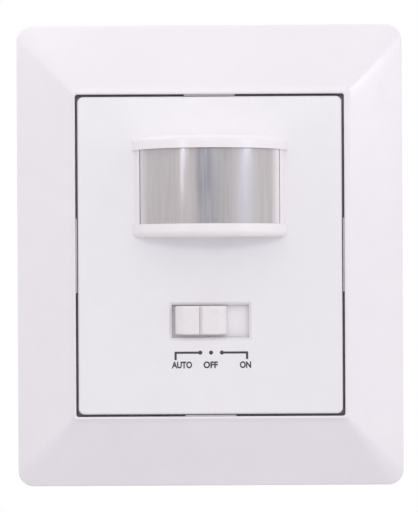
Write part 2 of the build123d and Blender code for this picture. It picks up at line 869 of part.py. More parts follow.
with BuildPart() as slide_switch_shell:
    with BuildSketch(at_height(board_front_height)):
        with Locations((slide_centre_x, slide_centre_z)):
            Rectangle(switch_width, switch_depth)
    extrude(amount=switch_height)
    fillet(slide_switch_shell.edges().filter_by(Axis.Y), switch_wall)
    with BuildSketch(at_height(board_front_height)):
        with Locations((slide_centre_x, slide_centre_z)):
            Rectangle(switch_width - 2 * switch_wall, switch_depth - 2 * switch_wall)
    extrude(amount=switch_height - switch_wall, mode=Mode.SUBTRACT)
    with BuildSketch(at_height(board_front_height)):
        with Locations((slide_centre_x, slide_centre_z)):
            Rectangle(
                actuator_post + slide_travel + 2 * slide_gap,
                actuator_post + 2 * slide_gap,
            )
    extrude(amount=switch_height, mode=Mode.SUBTRACT)

slide_switch_shell.part.label = "slide_switch_shell"
export_step(slide_switch_shell.part, "parts/slide_switch_shell.step")

with BuildPart() as slide_switch_base:
    with BuildSketch(at_height(board_front_height)):
        with Locations((slide_centre_x, slide_centre_z)):
            Rectangle(
                switch_width - 2 * switch_wall - 2 * seat_gap,
                switch_depth - 2 * switch_wall - 2 * seat_gap,
            )
    extrude(amount=switch_base_thickness)

slide_switch_base.part.label = "slide_switch_base"
export_step(slide_switch_base.part, "parts/slide_switch_base.step")

with BuildPart() as slide_switch_actuator:
    with BuildSketch(at_height(switch_base_top + slide_gap)):
        with Locations((knob_rest_x, slide_centre_z)):
            Rectangle(actuator_width, actuator_depth)
    extrude(amount=actuator_block_top - switch_base_top - slide_gap)
    with BuildSketch(at_height(actuator_block_top)):
        with Locations((knob_rest_x, slide_centre_z)):
            Rectangle(actuator_post, actuator_post)
    extrude(amount=actuator_top - actuator_block_top)

slide_switch_actuator.part.label = "slide_switch_actuator"
export_step(slide_switch_actuator.part, "parts/slide_switch_actuator.step")


# Trimmers: a square body with a round pocket, and a rotor with a driver slot
trimmer_top = board_front_height + trimmer_height
rotor_base = board_front_height + trimmer_floor + pivot_gap
rotor_top = trimmer_top + rotor_rise

for trimmer_name, trimmer_place in trimmer_places.items():
    with BuildPart() as trimmer_body:
        with BuildSketch(at_height(board_front_height)):
            with Locations(trimmer_place):
                Rectangle(trimmer_size, trimmer_size)
        extrude(amount=trimmer_height)
        with BuildSketch(at_height(board_front_height + trimmer_floor)):
            with Locations(trimmer_place):
                Circle(rotor_diameter / 2 + pivot_gap)
        extrude(amount=trimmer_height, mode=Mode.SUBTRACT)
    trimmer_body.part.label = f"{trimmer_name}_trimmer_body"
    export_step(trimmer_body.part, f"parts/{trimmer_name}_trimmer_body.step")

    with BuildPart() as trimmer_rotor:
        with BuildSketch(at_height(rotor_base)):
            with Locations(trimmer_place):
                Circle(rotor_diameter / 2)
        extrude(amount=rotor_top - rotor_base)
        with BuildSketch(at_height(rotor_top - rotor_slot_depth)):
            with Locations(trimmer_place):
                Rectangle(rotor_slot_width, rotor_diameter)
        extrude(amount=rotor_slot_depth, mode=Mode.SUBTRACT)
    trimmer_rotor.part.label = f"{trimmer_name}_trimmer_rotor"
    export_step(trimmer_rotor.part, f"parts/{trimmer_name}_trimmer_rotor.step")


# Power parts on the back of the power board: relay and film capacitor at the
# top, two round parts under the capacitor, and a row above the terminals
inner_half_width = housing_inner_width / 2
inner_half_height = housing_inner_height / 2
relay_x = side_margin + relay_width / 2 - inner_half_width
relay_z = inner_half_height - top_margin - relay_height / 2
film_capacitor_x = inner_half_width - side_margin - film_capacitor_width / 2
film_capacitor_z = inner_half_height - top_margin - film_capacitor_height / 2
under_capacitor_z = film_capacitor_z - film_capacitor_height / 2 - part_gap / 2
can_x = film_capacitor_x - film_capacitor_width / 2 + can_diameter / 2
can_z = under_capacitor_z - can_diameter / 2
varistor_x = film_capacitor_x + film_capacitor_width / 2 - varistor_diameter / 2
varistor_z = under_capacitor_z - varistor_thickness
row_z = relay_z - relay_height / 2 - row_gap - fuse_outer / 2
fuse_x = relay_x - relay_width / 2 + fuse_length / 2 + 2 * lead_width
diode_x = inner_half_width - side_margin - (diode_count * diode_pitch) / 2
resistor_x = (fuse_x + fuse_length / 2 + diode_x - diode_count * diode_pitch / 2) / 2

with BuildPart() as relay:
    with BuildSketch(at_height(power_board_back)):
        with Locations((relay_x, relay_z)):
            RectangleRounded(relay_width, relay_height, relay_round)
    extrude(amount=-relay_depth)

relay.part.label = "relay"
export_step(relay.part, "parts/relay.step")

with BuildPart() as film_capacitor:
    with BuildSketch(at_height(power_board_back)):
        with Locations((film_capacitor_x, film_capacitor_z)):
            RectangleRounded(film_capacitor_width, film_capacitor_height, relay_round)
    extrude(amount=-film_capacitor_depth)

film_capacitor.part.label = "film_capacitor"
export_step(film_capacitor.part, "parts/film_capacitor.step")

with BuildPart() as reservoir_capacitor:
    with BuildSketch(at_height(power_board_back)):
        with Locations((can_x, can_z)):
            Circle(can_diameter / 2)
    extrude(amount=-can_length)
    with BuildSketch(at_height(power_board_back - can_groove_height)):
        with Locations((can_x, can_z)):
            Circle(can_diameter / 2)
            Circle(can_diameter / 2 - can_groove_depth, mode=Mode.SUBTRACT)
    extrude(amount=-can_groove_width, mode=Mode.SUBTRACT)

reservoir_capacitor.part.label = "reservoir_capacitor"
export_step(reservoir_capacitor.part, "parts/reservoir_capacitor.step")

varistor_height = power_board_back - lying_part_rise - varistor_diameter / 2

with BuildPart() as varistor:
    with BuildSketch(Plane((varistor_x, -varistor_height, varistor_z))):
        Circle(varistor_diameter / 2)
    extrude(amount=varistor_thickness / 2, both=True)
    chamfer(varistor.edges().filter_by(GeomType.CIRCLE), varistor_chamfer)
    with BuildSketch(at_height(varistor_height)):
        with Locations((varistor_x, varistor_z)):
            with GridLocations(varistor_diameter / 2, 0, 2, 1):
                Rectangle(lead_width, lead_width)
    extrude(amount=power_board_back - varistor_height)

varistor.part.label = "varistor"
export_step(varistor.part, "parts/varistor.step")


def axial_part(middle_x, middle_z, diameter, length, along):
    """Return a round part that lies behind the power board on two bent leads."""
    axis_height = power_board_back - lying_part_rise - diameter / 2
    lead_offset = length / 2 + lead_width
    middle = Plane((middle_x, -axis_height, middle_z), z_dir=(along[0], 0, along[1]))
    with BuildPart() as lying:
        with BuildSketch(middle):
            Circle(diameter / 2)
        extrude(amount=length / 2, both=True)
        with BuildSketch(middle):
            Rectangle(lead_width, lead_width)
        extrude(amount=lead_offset + lead_width / 2, both=True)
        with BuildSketch(at_height(axis_height)):
            with Locations(
                (middle_x + lead_offset * along[0], middle_z + lead_offset * along[1]),
                (middle_x - lead_offset * along[0], middle_z - lead_offset * along[1]),
            ):
                Rectangle(lead_width, lead_width)
        extrude(amount=power_board_back - axis_height)
    return lying.part


fuse_axis_height = power_board_back - lying_part_rise - fuse_diameter / 2

with BuildPart() as fuse:
    add(axial_part(fuse_x, row_z, fuse_diameter, fuse_length, (1, 0)))
    for end in (-1, 1):
        cap_x = fuse_x + end * (fuse_length - fuse_cap_length) / 2
        with BuildSketch(Plane((cap_x, -fuse_axis_height, row_z), z_dir=(1, 0, 0))):
            Circle(fuse_diameter / 2 + fuse_cap_reach)
        extrude(amount=fuse_cap_length / 2, both=True)

fuse.part.label = "fuse"
export_step(fuse.part, "parts/fuse.step")

with BuildPart() as power_resistor:
    add(axial_part(resistor_x, row_z, resistor_diameter, resistor_length, (1, 0)))

power_resistor.part.label = "power_resistor"
export_step(power_resistor.part, "parts/power_resistor.step")

with BuildPart() as rectifier_diodes:
    for diode in range(diode_count):
        place_x = diode_x + (diode - (diode_count - 1) / 2) * diode_pitch
        add(axial_part(place_x, row_z, diode_diameter, diode_length, (0, 1)))

rectifier_diodes.part.label = "rectifier_diodes"
export_step(rectifier_diodes.part, "parts/rectifier_diodes.step")


# Terminals: block, box clamps with solder tails, and their screws
terminal_block_width = (
    (terminal_count - 1) * terminal_pitch + clamp_width + 2 * terminal_end_wall
)
clamp_back = terminal_back + terminal_head_height
clamp_front = clamp_back + clamp_length
pocket_size = clamp_width + 2 * seat_gap

with BuildPart() as terminal_block:
    with BuildSketch(at_height(terminal_back)):
        with Locations((0, terminal_z)):
            Rectangle(terminal_block_width, terminal_block_height)
    extrude(amount=power_board_back - terminal_back)
    with BuildSketch(at_height(terminal_back)):
        with Locations((0, terminal_z)):
            with GridLocations(terminal_pitch, 0, terminal_count, 1):
                Rectangle(pocket_size, pocket_size)
    extrude(amount=clamp_front + seat_gap - terminal_back, mode=Mode.SUBTRACT)
    with BuildSketch(at_height(clamp_front)):
        with Locations((0, terminal_z)):
            with GridLocations(terminal_pitch, 0, terminal_count, 1):
                Rectangle(2 * lead_width + 2 * seat_gap, lead_width + 2 * seat_gap)
    extrude(amount=power_board_back - clamp_front, mode=Mode.SUBTRACT)
    with BuildSketch(Plane.XY.offset(terminal_z)):
        with Locations((0, -wire_height)):
            with GridLocations(terminal_pitch, 0, terminal_count, 1):
                Circle(wire_hole_diameter / 2)
    extrude(amount=-terminal_block_height, mode=Mode.SUBTRACT)

terminal_block.part.label = "terminal_block"
export_step(terminal_block.part, "parts/terminal_block.step")

with BuildPart() as terminal_clamps:
    with BuildSketch(Plane.XY.offset(terminal_z)):
        with Locations((0, -wire_height)):
            with GridLocations(terminal_pitch, 0, terminal_count, 1):
                Rectangle(clamp_width, clamp_length)
                Rectangle(
                    clamp_width - 2 * clamp_wall,
                    clamp_length - 2 * clamp_wall,
                    mode=Mode.SUBTRACT,
                )
    extrude(amount=clamp_width / 2, both=True)
    with BuildSketch(at_height(clamp_back)):
        with Locations((0, terminal_z)):
            with GridLocations(terminal_pitch, 0, terminal_count, 1):
                Circle(terminal_screw_diameter / 2 + seat_gap)
    extrude(amount=clamp_wall, mode=Mode.SUBTRACT)
    with BuildSketch(at_height(clamp_front)):
        with Locations((0, terminal_z)):
            with GridLocations(terminal_pitch, 0, terminal_count, 1):
                Rectangle(2 * lead_width, lead_width)
    extrude(amount=power_board_back - clamp_front)

terminal_clamps.part.label = "terminal_clamps"
export_step(terminal_clamps.part, "parts/terminal_clamps.step")

with BuildPart() as terminal_screws:
    with BuildSketch(at_height(terminal_back)):
        with Locations((0, terminal_z)):
            with GridLocations(terminal_pitch, 0, terminal_count, 1):
                Circle(terminal_head_diameter / 2)
    extrude(amount=terminal_head_height)
    with BuildSketch(at_height(clamp_back)):
        with Locations((0, terminal_z)):
            with GridLocations(terminal_pitch, 0, terminal_count, 1):
                Circle(terminal_screw_diameter / 2)
    extrude(amount=2 * clamp_wall)
    with BuildSketch(at_height(terminal_back)):
        with Locations((0, terminal_z)):
            with GridLocations(terminal_pitch, 0, terminal_count, 1):
                Rectangle(terminal_head_diameter, screw_slot_width)
    extrude(amount=screw_slot_depth, mode=Mode.SUBTRACT)

terminal_screws.part.label = "terminal_screws"
export_step(terminal_screws.part, "parts/terminal_screws.step")
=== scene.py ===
"""Flush wall switch with a motion sensor: finished surfaces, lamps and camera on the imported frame."""

import logging
import math
from dataclasses import dataclass
from enum import Enum

import bmesh
import bpy
import numpy as np
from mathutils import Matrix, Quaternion


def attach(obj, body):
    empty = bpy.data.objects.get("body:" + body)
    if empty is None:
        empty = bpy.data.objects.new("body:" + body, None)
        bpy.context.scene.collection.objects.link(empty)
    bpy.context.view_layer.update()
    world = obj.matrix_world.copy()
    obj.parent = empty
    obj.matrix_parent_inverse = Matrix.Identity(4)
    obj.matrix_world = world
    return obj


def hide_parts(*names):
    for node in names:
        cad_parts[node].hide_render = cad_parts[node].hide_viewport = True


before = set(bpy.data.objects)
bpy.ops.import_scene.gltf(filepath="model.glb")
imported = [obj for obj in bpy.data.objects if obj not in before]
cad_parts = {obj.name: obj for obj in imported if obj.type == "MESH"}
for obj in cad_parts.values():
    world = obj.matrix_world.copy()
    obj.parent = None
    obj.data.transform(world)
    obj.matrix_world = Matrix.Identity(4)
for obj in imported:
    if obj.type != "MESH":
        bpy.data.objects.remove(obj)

LOG = logging.getLogger("motion_switch")
MM = 0.001
WELD = 0.001
TINY = 1e-12
TO_MM = 1000.0
Tone = tuple[float, float, float]
Span = tuple[float, float]
Shell = tuple[np.ndarray, np.ndarray]
Socket = bpy.types.NodeSocket
Tree = bpy.types.NodeTree
WHITE = (255, 255, 255)
PLAIN = (1.0, 1.0, 1.0, 1.0)


def linear(tone: Tone) -> tuple[float, float, float, float]:
    """Turns a colour written from 0 to 255 into what a shader socket takes.

    Each channel, divided by 255 to c, becomes c / 12.92 up to 0.04045, and above that
    ((c + 0.055) / 1.055) to the power 2.4.

    Args:
        tone: red, green and blue, 0 to 255.

    Returns:
        Linear red, green, blue and an alpha of 1.
    """
    part = np.array(tone) / 255
    out = np.where(part <= 0.04045, part / 12.92, ((part + 0.055) / 1.055) ** 2.4)
    return (float(out[0]), float(out[1]), float(out[2]), 1.0)


# Node trees: a small wiring helper and the effects that several finishes share


class Wiring:
    """Adds nodes to one node tree and joins them."""

    def __init__(self, tree: Tree) -> None:
        """Keeps the tree that the nodes go into."""
        self.tree = tree

    def add(self, kind: str, inputs: dict | None = None, **settings: object) -> bpy.types.Node:
        """Adds one node and fills its inputs.

        Args:
            kind: the node's type name.
            inputs: by input name or number, an output socket to join or a plain value.
            settings: properties of the node itself.

        Returns:
            The new node.
        """
        node = self.tree.nodes.new(kind)
        for key, value in settings.items():
            setattr(node, key, value)
        for key, value in (inputs or {}).items():
            if isinstance(value, Socket):
                self.tree.links.new(value, node.inputs[key])
            else:
                node.inputs[key].default_value = value
        return node

    def math(self, operation: str, *values: object) -> Socket:
        """Adds a Math node of one operation on values or sockets, and returns its output."""
        return self.add("ShaderNodeMath", dict(enumerate(values)), operation=operation).outputs[0]

    def spread(
        self, value: object, low: object, high: object, start: object = 0.0, end: object = 1.0
    ) -> Socket:
        """Maps a value from start..end to low..high, held at both ends, and returns the output."""
        places = {"Value": value, "From Min": start, "From Max": end, "To Min": low, "To Max": high}
        return self.add("ShaderNodeMapRange", places, clamp=True).outputs["Result"]

    def blend(self, share: object, first: object, second: object) -> Socket:
        """Mixes two colours by a share from 0 to 1, and returns the mixed colour."""
        node = self.add("ShaderNodeMix", {0: share, 6: first, 7: second}, data_type="RGBA")
        return node.outputs[2]

    def place(self) -> Socket:
        """Adds the object's own coordinates in metres, and returns them."""
        return self.add("ShaderNodeTexCoord").outputs["Object"]

    def parts(self) -> list[Socket]:
        """Adds the object's own coordinates, and returns x, y and z in millimetres."""
        split = self.add("ShaderNodeSeparateXYZ", {"Vector": self.place()})
        return [self.math("MULTIPLY", part, TO_MM) for part in split.outputs]

    def gap(self, value: Socket, middle: float) -> Socket:
        """Adds the distance between a value and a middle, and returns it."""
        return self.math("ABSOLUTE", self.math("SUBTRACT", value, middle))

    def stretched(self, vector: Socket, scale: Tone, rotation: Tone = (0, 0, 0)) -> Socket:
        """Adds a Mapping that turns a vector in radians and scales it, and returns the result."""
        values = {"Vector": vector, "Scale": scale, "Rotation": rotation}
        return self.add("ShaderNodeMapping", values).outputs["Vector"]

    def noise(self, vector: Socket, scale: object, detail: float = 2.0, **more: float) -> Socket:
        """Adds a noise texture, and returns its value.

        Args:
            vector: where it is read.
            scale: its fineness, a number or a socket.
            detail: its octaves.
            more: its other inputs by name.
        """
        inputs = {"Vector": vector, "Scale": scale, "Detail": detail, **more}
        return self.add("ShaderNodeTexNoise", inputs).outputs["Fac"]

    def hand_over(self, out: bpy.types.Node, **results: Socket) -> None:
        """Joins results to the inputs of a group's output node by name."""
        for label, socket in results.items():
            self.tree.links.new(socket, out.inputs[label])


@dataclass(frozen=True)
class Effect:
    """A shared node group in outline: its name, its inputs with their plain values, and its outputs."""

    name: str
    inputs: dict
    outputs: tuple[str, ...]

    def start(self) -> tuple[Tree, Wiring, dict, bpy.types.Node]:
        """Makes the empty group.

        Returns:
            The group, a Wiring for it, its input sockets by name, and the node that takes its outputs.
        """
        group = bpy.data.node_groups.new(self.name, "ShaderNodeTree")
        for label, value in self.inputs.items():
            kind = "NodeSocketColor" if isinstance(value, tuple) else "NodeSocketFloat"
            socket = group.interface.new_socket(label, in_out="INPUT", socket_type=kind)
            socket.default_value = value
        for label in self.outputs:
            kind = "NodeSocketColor" if label == "Color" else "NodeSocketFloat"
            group.interface.new_socket(label, in_out="OUTPUT", socket_type=kind)
        wiring = Wiring(group)
        given = {s.name: s for s in wiring.add("NodeGroupInput").outputs if s.name}
        return group, wiring, given, wiring.add("NodeGroupOutput")


class Effects:
    """The node groups that several finishes share, each made once."""

    surface_outputs = ("Color", "Roughness", "Height")

    def __init__(self) -> None:
        """Builds every group."""
        self.moulded = self._moulded()
        self.drawn = self._drawn()
        self.flecked = self._flecked()
        self.handled = self._handled()
        self.recessed = self._recessed()

    def _gloss(self, w: Wiring, given: dict, value: Socket) -> Socket:
        """Spreads the roughness by Drift to both sides along a value, and returns it."""
        low = w.math("SUBTRACT", given["Roughness"], given["Drift"])
        high = w.math("ADD", given["Roughness"], given["Drift"])
        return w.spread(value, low, high, start=0.3, end=0.7)

    def _moulded(self) -> Tree:
        """Moulded plastic: slow drift of colour and gloss, with the fine texture of the tool's steel.

        Returns:
            The group. Tone drifts towards Shade, Roughness spreads by Drift, and Height is the texture.
        """
        inputs = {"Tone": PLAIN, "Shade": PLAIN, "Roughness": 0.3, "Drift": 0.05, "Grain Scale": 3000.0}
        group, w, given, out = Effect("moulded surface", inputs, self.surface_outputs).start()
        place = w.place()
        slow = w.noise(place, scale=38.0, detail=3.0, Roughness=0.55)
        flow = w.noise(place, scale=210.0)
        mix = w.math("MULTIPLY_ADD", flow, 0.35, w.math("MULTIPLY", slow, 0.65))
        colour = w.blend(w.spread(mix, 0.0, 1.0, start=0.36, end=0.64), given["Tone"], given["Shade"])
        grain = w.noise(place, given["Grain Scale"])
        w.hand_over(out, Color=colour, Roughness=self._gloss(w, given, flow), Height=grain)
        return group

    def _drawn(self) -> Tree:
        """Rolled or plated metal: fine lines along one axis over a cloudy plating.

        Returns:
            The group. The lines run along X, and Line Scale sets how fine they are.
        """
        inputs = {"Tone": PLAIN, "Shade": PLAIN, "Roughness": 0.3, "Drift": 0.08, "Line Scale": 2200.0}
        group, w, given, out = Effect("drawn metal", inputs, self.surface_outputs).start()
        place = w.place()
        lines = w.noise(w.stretched(place, (0.06, 1.0, 1.0)), given["Line Scale"], detail=3.0)
        cloud = w.noise(place, scale=140.0, detail=4.0, Distortion=0.6)
        share = w.spread(cloud, 0.0, 1.0, start=0.35, end=0.65)
        both = w.math("MULTIPLY_ADD", lines, 0.5, w.math("MULTIPLY", share, 0.5))
        colour = w.blend(both, given["Tone"], given["Shade"])
        w.hand_over(out, Color=colour, Roughness=self._gloss(w, given, both), Height=lines)
        return group

    def _flecked(self) -> Tree:
        """Dipped, laminated or filled material: small cells of a second colour in the first.

        Returns:
            The group. Amount is the share of the surface that the flecks take.
        """
        inputs = {"Tone": PLAIN, "Fleck": PLAIN, "Amount": 0.3, "Roughness": 0.4, "Cell Scale": 2500.0}
        group, w, given, out = Effect("flecked surface", inputs, self.surface_outputs).start()
        place = w.place()
        sizes = {"Vector": place, "Scale": given["Cell Scale"]}
        cells = w.add("ShaderNodeTexVoronoi", sizes, feature="SMOOTH_F1").outputs["Distance"]
        cloud = w.noise(place, scale=300.0, detail=4.0)
        speck = w.math("MULTIPLY", cells, cloud)
        share = w.math("MULTIPLY", w.spread(speck, 1.0, 0.0, start=0.1, end=0.3), given["Amount"])
        colour = w.blend(share, given["Tone"], given["Fleck"])
        gloss = w.spread(cloud, w.math("SUBTRACT", given["Roughness"], 0.06), given["Roughness"])
        w.hand_over(out, Color=colour, Roughness=gloss, Height=speck)
        return group

    def _handled(self) -> Tree:
        """Marks of use: faint hair lines in two directions, for what is touched or clipped in place.

        Returns:
            The group. Mask is 0 on untouched surface and Amount along a hair line.
        """
        inputs = {"Amount": 0.3, "Line Scale": 500.0}
        group, w, given, out = Effect("hair lines", inputs, ("Mask",)).start()
        place = w.place()
        along = w.stretched(place, (0.05, 1, 1), (0, 0.5, 0))
        across = w.stretched(place, (1, 1, 0.04), (0, -0.9, 0.3))
        fields = [w.noise(way, given["Line Scale"]) for way in (along, across)]
        masks = [w.spread(field, 0.0, 1.0, start=0.66, end=0.72) for field in fields]
        w.hand_over(out, Mask=w.math("MULTIPLY", w.math("MAXIMUM", *masks), given["Amount"]))
        return group

    def _recessed(self) -> Tree:
        """Where the joint round the plate and the slide window lie deep: a mask for painted shade there,
        which the knob's finish also uses for painted light on its flange.

        Returns:
            The group. Mask is 1 below Floor and up to Near outside the opening's half sizes, and 0
            above Rim or past Far. All are millimetres.
        """
        heights = {"Floor": 7.9, "Rim": 8.45}
        sizes = {"Half Width": 27.5, "Half Height": 32.95, "Near": 0.3, "Far": 0.5}
        group, w, given, out = Effect("recess shade", {**heights, **sizes}, ("Mask",)).start()
        x, depth, z = w.parts()
        beyond_side = w.math("SUBTRACT", w.math("ABSOLUTE", x), given["Half Width"])
        beyond_end = w.math("SUBTRACT", w.math("ABSOLUTE", z), given["Half Height"])
        past = w.math("MAXIMUM", beyond_side, beyond_end)
        deep = w.spread(w.math("MULTIPLY", depth, -1.0), 1.0, 0.0, given["Floor"], given["Rim"])
        inside = w.spread(past, 1.0, 0.0, given["Near"], given["Far"])
        w.hand_over(out, Mask=w.math("MULTIPLY", deep, inside))
        return group


EFFECTS = Effects()


class Surface(Enum):
    """The shared effect that a finish is made with."""

    MOULDED = "moulded"
    DRAWN = "drawn"
    FLECKED = "flecked"


@dataclass(frozen=True)
class Finish:
    """One finish: its two tones from 0 to 255, its gloss, and the size of its texture.

    The scale is the texture's fineness in steps a metre, and the depth its relief in millimetres.
    """

    name: str
    surface: Surface
    tone: Tone
    second: Tone
    roughness: float
    drift: float = 0.04
    scale: float = 3000.0
    depth: float = 0.004
    metal: float = 0.0
    coat: float = 0.0
    coat_roughness: float = 0.1
    hairs: float = 0.0
    clear: float = 0.0
    ior: float = 1.5
    recess: Tone | None = None
    bump: float = 0.5

    def effect(self, w: Wiring) -> bpy.types.Node:
        """Places the shared effect with this finish's values.

        Args:
            w: the material's wiring.

        Returns:
            The group node, with its Color, Roughness and Height outputs.
        """
        values = {"Tone": linear(self.tone), "Roughness": self.roughness}
        if self.surface is Surface.FLECKED:
            values |= {"Fleck": linear(self.second), "Amount": self.drift, "Cell Scale": self.scale}
        else:
            grain = "Line Scale" if self.surface is Surface.DRAWN else "Grain Scale"
            values |= {"Shade": linear(self.second), "Drift": self.drift, grain: self.scale}
        return w.add("ShaderNodeGroup", values, node_tree=getattr(EFFECTS, self.surface.value))

    def pattern(self, w: Wiring, colour: Socket) -> Socket:
        """Lays a pattern over the colour. A plain finish has only its recess tone, if it has any: painted
        shade on the frame and the plate, painted light on the knob, deep in the joint and the slide window.

        Args:
            w: the material's wiring.
            colour: the effect's colour.

        Returns:
            The colour that the shader takes.
        """
        # Painted light and shade: the recess tone is blended in where the surface lies deep in the joint or
        # the slide window.
        if self.recess:
            deep = w.add("ShaderNodeGroup", node_tree=EFFECTS.recessed)
            colour = w.blend(deep.outputs["Mask"], colour, linear(self.recess))
        return colour

    def relief(self, w: Wiring, height: Socket) -> Socket:
        """Adds to the texture's height. A plain finish adds nothing."""
        return height

    def material(self) -> bpy.types.Material:
        """Makes the material, once for each name.

        Returns:
            The material with its Principled shader, texture and bump.
        """
        made = bpy.data.materials.get(self.name)
        if made:
            return made
        made = bpy.data.materials.new(self.name)
        made.use_nodes = True
        made.node_tree.nodes.clear()
        w = Wiring(made.node_tree)
        source = self.effect(w)
        rough = source.outputs["Roughness"]
        if self.hairs:
            lines = w.add("ShaderNodeGroup", {"Amount": self.hairs}, node_tree=EFFECTS.handled)
            rough = w.math("ADD", rough, lines.outputs["Mask"])
        height = self.relief(w, source.outputs["Height"])
        relief = {"Height": height, "Strength": self.bump, "Distance": self.depth * MM}
        bump = w.add("ShaderNodeBump", relief)
        shader = w.add(
            "ShaderNodeBsdfPrincipled",
            {
                "Base Color": self.pattern(w, source.outputs["Color"]),
                "Roughness": rough,
                "Normal": bump.outputs["Normal"],
                "Metallic": self.metal,
                "IOR": self.ior,
                "Coat Weight": self.coat,
                "Coat Roughness": self.coat_roughness,
                "Transmission Weight": self.clear,
            },
        )
        w.add("ShaderNodeOutputMaterial", {"Surface": shader.outputs["BSDF"]})
        return made


@dataclass(frozen=True)
class BoardFinish(Finish):
    """Solder mask over copper tracks, which show as slightly lighter raised lines."""

    pitch: float = 420.0
    finer: float = 0.37
    joints: Span = (0.09, 0.06)
    lightening: Span = (1.35, 12.0)
    showing: float = 0.7
    raised: float = 2.0

    def _tracks(self, w: Wiring) -> Socket:
        """Draws the tracks as the joints of two brick patterns, a wide one and a finer one.

        Args:
            w: the material's wiring.

        Returns:
            1 on copper and 0 between the tracks.
        """
        flat = w.stretched(w.place(), (1, 1, 1), (math.pi / 2, 0, 0))
        black = (0, 0, 0, 1)
        spots = {"Vector": flat, "Color1": black, "Color2": black, "Mortar": PLAIN}
        shape = {"Mortar Smooth": 0.2, "Brick Width": 1.9}
        layers = []
        for pitch, joint in zip((self.pitch, self.pitch * self.finer), self.joints):
            sizes = {**spots, **shape, "Scale": pitch, "Mortar Size": joint}
            layers.append(w.add("ShaderNodeTexBrick", sizes).outputs["Color"])
        return w.math("MAXIMUM", *layers)

    def pattern(self, w: Wiring, colour: Socket) -> Socket:
        """Lightens the mask over the tracks: its tone times a factor, and a little more on top."""
        factor, extra = self.lightening
        lighter = linear(tuple(min(255.0, c * factor + extra) for c in self.tone))
        return w.blend(w.math("MULTIPLY", self._tracks(w), self.showing), colour, lighter)

    def relief(self, w: Wiring, height: Socket) -> Socket:
        """Raises the mask over the tracks and returns the height."""
        return w.math("MULTIPLY_ADD", self._tracks(w), self.raised, height)


@dataclass(frozen=True)
class PlateFinish(Finish):
    """The plate's plastic, with a painted light: a warmer tone where the hood stands out of it, though the
    hood is the same plastic.
    """

    hood: Tone = WHITE
    painted_hood_light_heights: Span = (9.3, 10.3)

    def pattern(self, w: Wiring, colour: Socket) -> Socket:
        """Paints a warmer light on the hood, rising from the first height in millimetres to the second, and
        paints shade in the joint.
        """
        _, depth, _ = w.parts()
        stands = w.spread(w.math("MULTIPLY", depth, -1.0), 0.0, 1.0, *self.painted_hood_light_heights)
        return w.blend(stands, super().pattern(w, colour), linear(self.hood))


@dataclass(frozen=True)
class LensFinish(Finish):
    """Milky lens plastic with painted light and shade for what lies behind it: painted light at the right
    and on the shoulders, painted shade of the holder and painted shadow of the heat sensor, darker at the
    foot, and faint streaks drawn along z.
    """

    shoulder: Span = (12.4, 13.7)
    # Painted light on the shoulders, lighter at the right than at the left.
    painted_shoulder_light_left: Tone = (216, 211, 211)
    painted_shoulder_light_right: Tone = (242, 235, 237)
    # Painted shade of the holder behind the lens.
    shade_left: Span = (-3.2, -2.3)
    shade_right: Span = (5.6, 0.6)
    shade: Tone = (166, 163, 167)
    # Painted shadow of the heat sensor behind the lens, in the dark tone.
    sensor_shadow_x: float = -1.0
    sensor_width: Span = (1.2, 1.7)
    sensor_shadow_z: Span = (8.5, 14.5)
    sensor_shadow_share: Span = (0.1, 0.9)
    line_x: float = 0.0
    line_width: Span = (0.3, 0.8)
    line_share: float = 0.4
    dark: Tone = (138, 137, 151)
    # Painted light at the right of the lens.
    painted_light_x: float = 6.9
    painted_light_width: Span = (0.8, 3.2)
    painted_light: Tone = (201, 198, 206)
    foot_z: Span = (10.2, 7.0)
    foot_share: float = 0.15
    foot_tone: Tone = (166, 163, 165)
    streak_limits: Span = (0.45, 0.7)
    streak_share: float = 0.22
    streak_tone: Tone = (222, 221, 228)
    streak_height: float = 1.5

    def _streaks(self, w: Wiring) -> Socket:
        """Returns fine streaks that run along z."""
        return w.noise(w.stretched(w.place(), (1.0, 0.4, 0.03)), scale=2400.0, detail=3.0)

    def _column(self, w: Wiring, x: Socket, middle: float, width: Span) -> Socket:
        """Returns 1 within the first half width of a middle line, falling to 0 at the second."""
        return w.spread(w.gap(x, middle), 1.0, 0.0, *width)

    def pattern(self, w: Wiring, colour: Socket) -> Socket:
        """Paints light and shade on the plastic for what lies behind it.

        Over the plain tone come in turn the painted light at the right, the painted shade of the holder,
        the painted shadow of the heat sensor with a thin line beside it, the darker foot, the painted light
        on the shoulders and the streaks.

        Args:
            w: the material's wiring.
            colour: the plain colour.

        Returns:
            The shaded colour.
        """
        x, _, z = w.parts()
        # Painted light at the right.
        painted_light = self._column(w, x, self.painted_light_x, self.painted_light_width)
        colour = w.blend(painted_light, colour, linear(self.painted_light))
        # Painted shade of the holder.
        near = [w.spread(x, 0.0, 1.0, *side) for side in (self.shade_left, self.shade_right)]
        near = w.math("MINIMUM", *near)
        colour = w.blend(near, colour, linear(self.shade))
        # Painted shadow of the heat sensor, with a thin dark line beside it.
        column = self._column(w, x, self.sensor_shadow_x, self.sensor_width)
        band = w.math("MULTIPLY", column, w.spread(z, *self.sensor_shadow_share, *self.sensor_shadow_z))
        line = self._column(w, x, self.line_x, self.line_width)
        line = w.math("MULTIPLY", line, self.line_share)
        colour = w.blend(w.math("MAXIMUM", band, line), colour, linear(self.dark))
        low = w.math("MULTIPLY", w.spread(z, 0.0, self.foot_share, *self.foot_z), near)
        colour = w.blend(low, colour, linear(self.foot_tone))
        # Painted light on the shoulders, lighter at the right.
        edge = w.spread(w.math("ABSOLUTE", x), 0.0, 1.0, *self.shoulder)
        pale = w.blend(w.spread(x, 0.0, 1.0), linear(self.painted_shoulder_light_left), linear(self.painted_shoulder_light_right))
        colour = w.blend(edge, colour, pale)
        streaks = w.spread(self._streaks(w), 0.0, self.streak_share, *self.streak_limits)
        return w.blend(streaks, colour, linear(self.streak_tone))

    def relief(self, w: Wiring, height: Socket) -> Socket:
        """Adds the drawn lines to the texture's height and returns it."""
        return w.math("MULTIPLY_ADD", self._streaks(w), self.streak_height, height)


